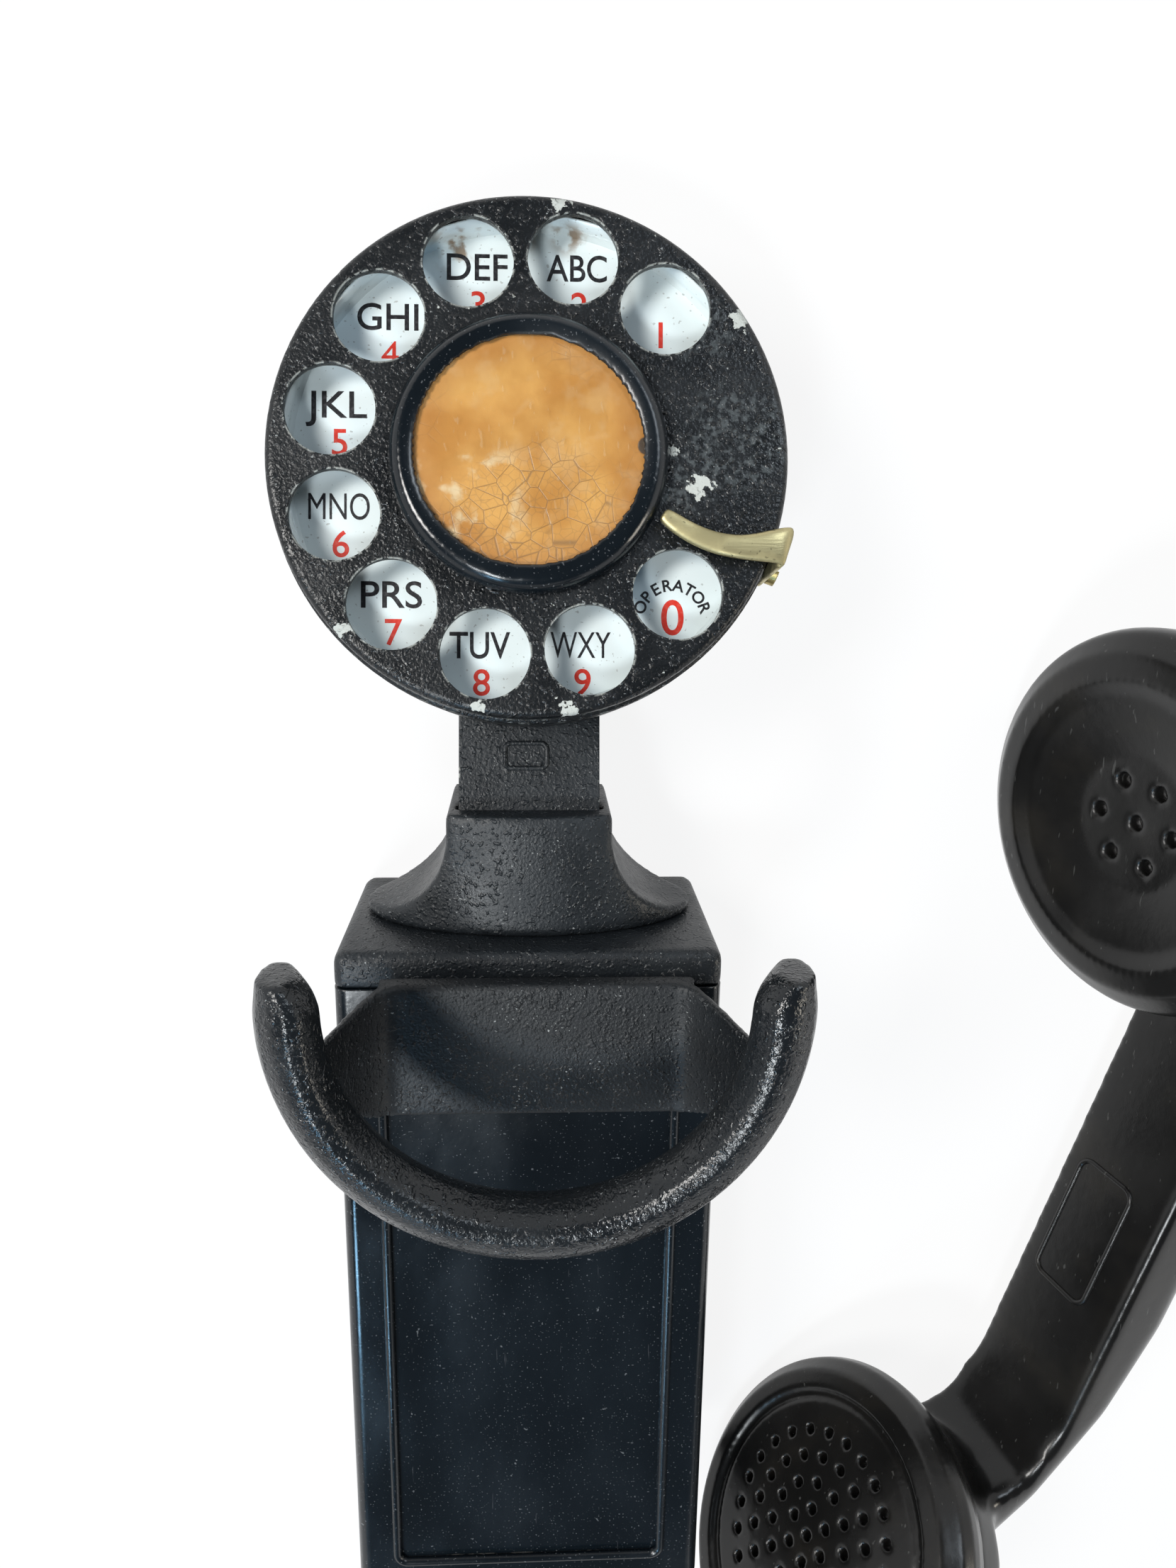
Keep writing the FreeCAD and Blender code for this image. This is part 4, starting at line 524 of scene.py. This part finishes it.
def bow_rows():
    """Sections from the top of the left prong round to the top of the right one."""
    centre = Vector((HOOK_SIDE, BOW_HEIGHT, BOW_LEVEL))
    prongs = {-1: [], 1: []}
    for side in prongs:
        for index in range(1, PRONG_STATIONS + 1):
            rise = index / PRONG_STATIONS
            reach = BOW_RADIUS + PRONG_FLARE * rise ** 2
            middle = centre + Vector((side * reach, (PRONG_TOP - BOW_HEIGHT) * rise, 0))
            share = 1 - (1 - PRONG_TAPER) * rise ** 1.5
            prongs[side].append(bow_section(middle, Vector((side, 0, 0)), share))
    arc = []
    for index in range(ARC_STATIONS + 1):
        angle = math.pi * (1 + index / ARC_STATIONS)
        outward = Vector((math.cos(angle), math.sin(angle), 0))
        arc.append(bow_section(centre + outward * BOW_RADIUS, outward, 1.0))
    return prongs[-1][::-1] + arc + prongs[1]


def bridge_rows():
    """Sections of the bridge: flat before the cover, then sweeping forward into the bow."""
    rows = []
    for index in range(BRIDGE_STATIONS + 1):
        x = BRIDGE_REACH * (2 * index / BRIDGE_STATIONS - 1)
        bend = max(abs(x) - BRIDGE_FLAT, 0) / (BRIDGE_REACH - BRIDGE_FLAT)
        back = BRIDGE_BACK + BRIDGE_RISE * bend ** 1.5
        top = BRIDGE_TOP - BRIDGE_TOP_DROP * bend
        bottom = BRIDGE_BOTTOM + BRIDGE_BOTTOM_RISE * bend ** 2
        corners = ((bottom, back), (top, back), (top, back + BRIDGE_METAL), (bottom, back + BRIDGE_METAL))
        rows.append([Vector((HOOK_SIDE + x, y, z)) for y, z in corners])
    return rows


def hook_casting():
    """The node's own stem below the cut, with the swept bow and bridge fused to it."""
    shape = welded("cradle_hook")
    everything = shape.verts[:] + shape.edges[:] + shape.faces[:]
    cutting = bmesh.ops.bisect_plane(shape, geom=everything, plane_co=(0, 0, STEM_CUT * MM),
                                     plane_no=(0, 0, 1), clear_outer=True)
    rim = [part for part in cutting["geom_cut"] if isinstance(part, bmesh.types.BMEdge)]
    bmesh.ops.holes_fill(shape, edges=rim)
    add_tube(shape, bow_rows())
    add_tube(shape, bridge_rows())
    bmesh.ops.recalc_face_normals(shape, faces=shape.faces)
    piece = finished("hook_casting", shape, fork_paint, "cradle_hook")
    soften(piece, grain=0.55, passes=8)
    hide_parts("cradle_hook")


hook_casting()


# Pressed cover: its sunk panel runs up behind the hook; in millimetres

PANEL_TOP = 31.5
PANEL_HIDDEN_TOP = 39.0
PANEL_BOTTOM = -56.5
PANEL_HALF = 24.0
COVER_FRONT = 39.0
# Corners of the panel lie within this of the cover's front, and within NEARLY of its outline
FRONT_BAND = 1.0
NEARLY = 0.4
# A face whose normal is this near to an axis is flat; the others belong to rounded edges
FLAT_FACE = 0.9999


def cover_pressing():
    """The cover with the top of its sunk panel moved up behind the hook's bridge."""
    shape = welded("front_cover")
    for vertex in shape.verts:
        x, y, z = vertex.co / MM
        if abs(x) < PANEL_HALF + NEARLY and abs(y - PANEL_TOP) < NEARLY and z > COVER_FRONT - FRONT_BAND:
            vertex.co.y = PANEL_HIDDEN_TOP * MM
    piece = finished("cover_pressing", shape, cover_enamel, "front_cover")
    for face in piece.data.polygons:
        face.use_smooth = max(abs(part) for part in face.normal) < FLAT_FACE
    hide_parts("front_cover")


cover_pressing()


# Lettering on the number plate

letter_ink = printed("letter_ink", (0.012, 0.012, 0.014), (0.10, 0.10, 0.11))
digit_ink = printed("digit_ink", (0.60, 0.030, 0.016), (0.62, 0.14, 0.10))
plate_front = dial_level("number_plate")
LETTER_SIZE = 5.7 * MM
DIGIT_SIZE = 5.6 * MM
ZERO_SIZE = 7.6 * MM
ARC_LETTER_SIZE = 2.5 * MM
LETTER_LIFT = Vector((-0.1, 1.5, 0)) * MM
DIGIT_DROP = Vector((0.2, -4.1, 0)) * MM
ZERO_DROP = Vector((0, -2.8, 0)) * MM
LONE_DIGIT_DROP = Vector((0, -1.5, 0)) * MM
INK_DEPTH = 0.02 * MM
WORD_WIDTH = 9.1 * MM
STROKE = 0.05 * MM
# Letters and digits with sharp corners, which a heavier stroke would spoil
POINTED = set("MNWXY4")
PRINT_TURN = Matrix.Rotation(math.radians(-2), 4, "Z")


def text_piece(name, words, letter_size, ink, place, turn=0.0, width=None):
    """Printed words whose middle lies at a place of the dial's plane, drawn in or out to a width."""
    curve = bpy.data.curves.new(name, "FONT")
    curve.body = words
    curve.size = letter_size
    curve.align_x = "CENTER"
    curve.align_y = "CENTER"
    curve.extrude = INK_DEPTH / 2
    if not POINTED.intersection(words):
        curve.offset = STROKE
    curve.resolution_u = 6
    curve.materials.append(ink)
    piece = bpy.data.objects.new(name, curve)
    scene.collection.objects.link(piece)
    level = Vector((0, 0, plate_front + INK_DEPTH / 2))
    bpy.context.view_layer.update()
    stretch = width / piece.dimensions.x if width else 1.0
    piece.matrix_world = (dial_matrix @ Matrix.Translation(place + level) @ Matrix.Rotation(turn, 4, "Z")
                          @ Matrix.Diagonal((stretch, 1, 1, 1)))
    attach(piece, body_of["number_plate"])


def arched_word(word, middle, radius, spread):
    """Letters along an arc round a place of the dial's plane, upright at its top."""
    for index, letter in enumerate(word):
        turn = spread * (0.5 - index / (len(word) - 1))
        place = middle + Vector((-math.sin(turn), math.cos(turn), 0)) * radius
        text_piece(f"arc_letter_{index}", letter, ARC_LETTER_SIZE, letter_ink, place, turn)


ARC_RADIUS = 5.1 * MM
ARC_SPREAD = math.radians(138)
for index, (letters, digit) in enumerate(zip(HOLE_LETTERS, HOLE_DIGITS)):
    middle = hole_place(index)
    if not letters:
        text_piece(f"digit_{digit}", digit, DIGIT_SIZE, digit_ink, middle + LONE_DIGIT_DROP)
    elif len(letters) == 3:
        printed_at = PRINT_TURN @ middle
        text_piece(f"letters_{digit}", letters, LETTER_SIZE, letter_ink, printed_at + LETTER_LIFT,
                   width=WORD_WIDTH)
        text_piece(f"digit_{digit}", digit, DIGIT_SIZE, digit_ink, printed_at + DIGIT_DROP)
    else:
        arched_word(letters, middle + ZERO_DROP, ARC_RADIUS, ARC_SPREAD)
        text_piece(f"digit_{digit}", digit, ZERO_SIZE, digit_ink, middle + ZERO_DROP)


# Turned-up rim of the number plate, seen through the upper finger holes

RIM_TURNS = 128
# Radius and rise above the plate's front in millimetres: outside going up, inside coming down
RIM_SECTION = ((35.4, -0.2), (36.2, -0.2), (36.35, 1.0), (36.35, 4.2), (36.0, 4.2), (35.95, 1.2), (35.8, 0.5),
               (35.4, 0.0))


def plate_rim():
    """The enamelled plate curls up towards the wheel at its edge."""
    shape = bmesh.new()
    rings = []
    for turn in range(RIM_TURNS):
        angle = 2 * math.pi * turn / RIM_TURNS
        outward = Vector((math.cos(angle), math.sin(angle), 0))
        ring = []
        for radius, rise in RIM_SECTION:
            place = outward * radius * MM
            place.z = plate_front + rise * MM
            ring.append(shape.verts.new(dial_matrix @ place))
        rings.append(ring)
    for ring, following in zip(rings, rings[1:] + rings[:1]):
        for index in range(len(RIM_SECTION)):
            after = (index + 1) % len(RIM_SECTION)
            shape.faces.new((ring[index], following[index], following[after], ring[after]))
    bmesh.ops.recalc_face_normals(shape, faces=shape.faces)
    finished("plate_rim", shape, slot_materials["white_enamel"], "number_plate")


plate_rim()


# Finger stop as a curved, tapering hook, in millimetres from the dial's middle

STOP_METAL = 1.4
STOP_HEIGHT = 1.75
STOP_FOOT_RADIUS = 39.55
STOP_FOOT_ANGLE = math.radians(-19.5)
STOP_FOOT_WIDTH = 6.6
# Middle of the hook from its tip to the rim, and its width there
STOP_COURSE = ((19.2, -8.6, 1.8), (19.9, -9.1, 2.6), (22.5, -10.9, 3.0), (26.1, -12.6, 3.2),
               (30.3, -13.4, 3.6), (33.8, -13.2, 4.4), (36.9, -13.0, 5.6))
# Heights of the foot that runs down the side of the case
STOP_FOOT_LEVELS = (1.3, 0.2, -3.0, -8.0, -13.0, -15.6)


def stop_stations():
    """Middle, direction across and width of the stop from its tip to the end of its foot."""
    stations = []
    middles = [Vector((x, y, STOP_HEIGHT)) for x, y, width in STOP_COURSE]
    for index, (middle, (x, y, width)) in enumerate(zip(middles, STOP_COURSE)):
        before = middles[max(index - 1, 0)]
        after = middles[min(index + 1, len(middles) - 1)]
        across = (after - before).normalized().cross(Vector((0, 0, 1)))
        stations.append((middle, across, width))
    foot_out = Vector((math.cos(STOP_FOOT_ANGLE), math.sin(STOP_FOOT_ANGLE), 0))
    foot_across = foot_out.cross(Vector((0, 0, 1)))
    for level in STOP_FOOT_LEVELS:
        middle = foot_out * STOP_FOOT_RADIUS + Vector((0, 0, level))
        stations.append((middle, foot_across, STOP_FOOT_WIDTH))
    return stations


def finger_stop():
    """A bent strip, thickened and smoothed."""
    shape = bmesh.new()
    rows = []
    for middle, across, width in stop_stations():
        rows.append([shape.verts.new(dial_matrix @ ((middle + across * width * share) * MM))
                     for share in (-0.5, 0.0, 0.5)])
    for row, following in zip(rows, rows[1:]):
        for left in (0, 1):
            shape.faces.new((row[left], row[left + 1], following[left + 1], following[left]))
    piece = finished("stop_hook", shape, node_materials["finger_stop"], "finger_stop")
    thicken = piece.modifiers.new("metal", "SOLIDIFY")
    thicken.thickness = STOP_METAL * MM
    thicken.offset = 0
    smooth = piece.modifiers.new("smooth", "SUBSURF")
    smooth.levels = 2
    smooth.render_levels = 2
    settle(piece)
    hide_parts("finger_stop")


finger_stop()


# Plain raised frames

# Length of a curve's handle for a quarter circle of radius 1
QUARTER_HANDLE = 0.552


def raised_frame(name, matrix, sizes, node):
    """A rounded rectangle of half-round bead on a flat face, by its width, height, corner and bead radius."""
    width, height, corner, bead = (size * MM for size in sizes)
    curve = bpy.data.curves.new(name, "CURVE")
    curve.dimensions = "3D"
    curve.bevel_depth = bead
    curve.bevel_resolution = 3
    curve.materials.append(node_materials.get(node, slot_materials[slot_of[node]]))
    spline = curve.splines.new("BEZIER")
    half_x = width / 2
    half_y = height / 2
    bend = corner * QUARTER_HANDLE
    ends = []
    for side_x, side_y in ((1, -1), (1, 1), (-1, 1), (-1, -1)):
        on_side = (Vector((side_x * half_x, side_y * (half_y - corner), 0)), Vector((0, side_y, 0)))
        on_end = (Vector((side_x * (half_x - corner), side_y * half_y, 0)), Vector((side_x, 0, 0)))
        ends.extend([on_side, on_end] if side_x == side_y else [on_end, on_side])
    spline.bezier_points.add(len(ends) - 1)
    for index, (point, (place, along)) in enumerate(zip(spline.bezier_points, ends)):
        point.co = place
        into = along * bend
        rounding_next = index % 2 == 0
        point.handle_right = place + into if rounding_next else place
        point.handle_left = place if rounding_next else place + into
    spline.use_cyclic_u = True
    piece = bpy.data.objects.new(name, curve)
    scene.collection.objects.link(piece)
    piece.matrix_world = matrix
    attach(piece, body_of[node])


# Camera of the photograph: picture size and focal length in pixels, then its place and directions

PHOTO_WIDTH = 1659
PHOTO_HEIGHT = 2212
FOCAL_PIXELS = 1597
SENSOR = 36
LENS = FOCAL_PIXELS / PHOTO_HEIGHT * SENSOR
CAMERA_PLACE = Vector((0.367, 135.616, 210.307)) * MM
CAMERA_RIGHT = Vector((0.9988, 0.0125, 0.0482))
CAMERA_UP = Vector((-0.0005, 0.9701, -0.2427))
CAMERA_BACK = Vector((-0.0498, 0.2424, 0.9689))


def seen_at(thing, pixel):
    """Where the camera's ray through a pixel of the photograph meets an object, and the normal there."""
    across = (pixel[0] - PHOTO_WIDTH / 2) / FOCAL_PIXELS
    down = (pixel[1] - PHOTO_HEIGHT / 2) / FOCAL_PIXELS
    ray = (CAMERA_RIGHT * across - CAMERA_UP * down - CAMERA_BACK).normalized()
    return thing.ray_cast(CAMERA_PLACE, ray)[1:3]


def flat_on(thing, pixel, upward):
    """A frame on an object's surface: Z along its normal and Y as near upward as it can be."""
    place, normal = seen_at(thing, pixel)
    side = upward.cross(normal).normalized()
    turn = Matrix((side, normal.cross(side), normal)).transposed().to_4x4()
    return Matrix.Translation(place) @ turn


# Pixels of the photograph at the middles of two frames
STRAP_MARK = (742, 1066)
HANDLE_MARK = (1527, 1737)
# Width, height, corner and bead radius of each frame in millimetres
STRAP_FRAME = (7.0, 4.2, 1.0, 0.4)
HANDLE_FRAME = (12.5, 26.0, 2.4, 0.5)
BEAD_MARGIN = 1.0
PANEL_FRAME = (PANEL_HALF * 2 + BEAD_MARGIN, PANEL_HIDDEN_TOP - PANEL_BOTTOM + BEAD_MARGIN, 2.0, 0.8)
panel_middle = Vector((0, (PANEL_HIDDEN_TOP + PANEL_BOTTOM) / 2, COVER_FRONT)) * MM
raised_frame("strap_mark", flat_on(nodes["dial_bracket"], STRAP_MARK, dial_up), STRAP_FRAME, "dial_bracket")
raised_frame("handle_mark", flat_on(handle, HANDLE_MARK, handset_along), HANDLE_FRAME, "handset_handle")
raised_frame("panel_bead", Matrix.Translation(panel_middle), PANEL_FRAME, "front_cover")


# Camera, floor and light

def make_camera():
    data = bpy.data.cameras.new("photo_camera")
    data.sensor_width = SENSOR
    data.lens = LENS
    data.clip_start = 0.005
    camera = bpy.data.objects.new("photo_camera", data)
    scene.collection.objects.link(camera)
    turn = Matrix((CAMERA_RIGHT, CAMERA_UP, CAMERA_BACK)).transposed().to_4x4()
    camera.matrix_world = Matrix.Translation(CAMERA_PLACE) @ turn
    scene.camera = camera


# Floor, backdrop and lamps are in metres
FLOOR_RADIUS = 2.9
FLOOR_LEVEL = -0.3 * MM
FLOOR_COLOUR = (0.82, 0.83, 0.84, 1)
FLOOR_WHITE = 0.88
BACKDROP_HEIGHT = 1.6
BACKDROP_SIDES = 64
ROOM_COLOUR = (0.80, 0.88, 1.0, 1)
ROOM_LIGHT = 0.11
LAMP_AIM = Vector((0.0, 0.08, 0.03))
LAMP_ASPECT = 0.7
# Name, place, width, power in watts and colour
LAMPS = (
    ("key", (-0.48, 0.30, 0.72), 0.32, 6.9, (1.0, 0.98, 0.95)),
    ("near_window", (-0.22, -0.16, 0.74), 0.14, 3.2, (0.92, 0.97, 1.0)),
    ("sky", (0.42, 0.62, 0.62), 0.30, 1.7, (0.82, 0.91, 1.0)),
    ("low_window", (-0.30, -0.52, 0.62), 0.12, 1.2, (0.35, 0.68, 1.0)),
    ("side", (0.75, -0.10, 0.35), 0.25, 1.2, (1.0, 0.92, 0.78)),
)


def floor_paint():
    """Matt white that keeps most of its white to the camera, in reflections and through glass."""
    graph = Graph("pale_floor")
    graph.set(Base_Color=FLOOR_COLOUR, Roughness=0.9)
    seen = graph.add("ShaderNodeLightPath").outputs
    direct = seen["Is Camera Ray"]
    for kind in ("Is Glossy Ray", "Is Transmission Ray"):
        direct = graph.calc("MAXIMUM", direct, seen[kind])
    mix = graph.add("ShaderNodeMixShader")
    graph.feed(mix.inputs["Fac"], graph.calc("MULTIPLY", direct, FLOOR_WHITE))
    graph.feed(mix.inputs[1], graph.shader.outputs[0])
    graph.feed(mix.inputs[2], graph.add("ShaderNodeEmission").outputs[0])
    graph.feed(graph.tree.nodes["Material Output"].inputs["Surface"], mix.outputs[0])
    return graph.material


def make_floor():
    """A white floor and low round backdrop that show only a trace of shadow."""
    shape = bmesh.new()
    level = Matrix.Translation((0, 0, FLOOR_LEVEL))
    bmesh.ops.create_circle(shape, cap_ends=True, segments=BACKDROP_SIDES, radius=FLOOR_RADIUS, matrix=level)
    rim = [edge for edge in shape.edges if edge.is_boundary]
    raised = bmesh.ops.extrude_edge_only(shape, edges=rim)["geom"]
    corners = [part for part in raised if isinstance(part, bmesh.types.BMVert)]
    bmesh.ops.translate(shape, verts=corners, vec=(0, 0, BACKDROP_HEIGHT))
    mesh = bpy.data.meshes.new("floor")
    shape.to_mesh(mesh)
    shape.free()
    mesh.materials.append(floor_paint())
    floor = bpy.data.objects.new("floor", mesh)
    scene.collection.objects.link(floor)


def soft_light(name, place, width, power, colour):
    """An area lamp that points at the middle of the part."""
    data = bpy.data.lights.new(name, "AREA")
    data.shape = "RECTANGLE"
    data.size = width
    data.size_y = width * LAMP_ASPECT
    data.energy = power
    data.color = colour
    light = bpy.data.objects.new(name, data)
    scene.collection.objects.link(light)
    light.location = place
    light.rotation_mode = "QUATERNION"
    light.rotation_quaternion = (LAMP_AIM - Vector(place)).to_track_quat("-Z", "Y")


def make_light():
    world = bpy.data.worlds.new("room")
    world.use_nodes = True
    background = world.node_tree.nodes["Background"]
    background.inputs["Color"].default_value = ROOM_COLOUR
    background.inputs["Strength"].default_value = ROOM_LIGHT
    scene.world = world
    for lamp in LAMPS:
        soft_light(*lamp)


make_camera()
make_floor()
make_light()
scene.view_settings.view_transform = "Standard"
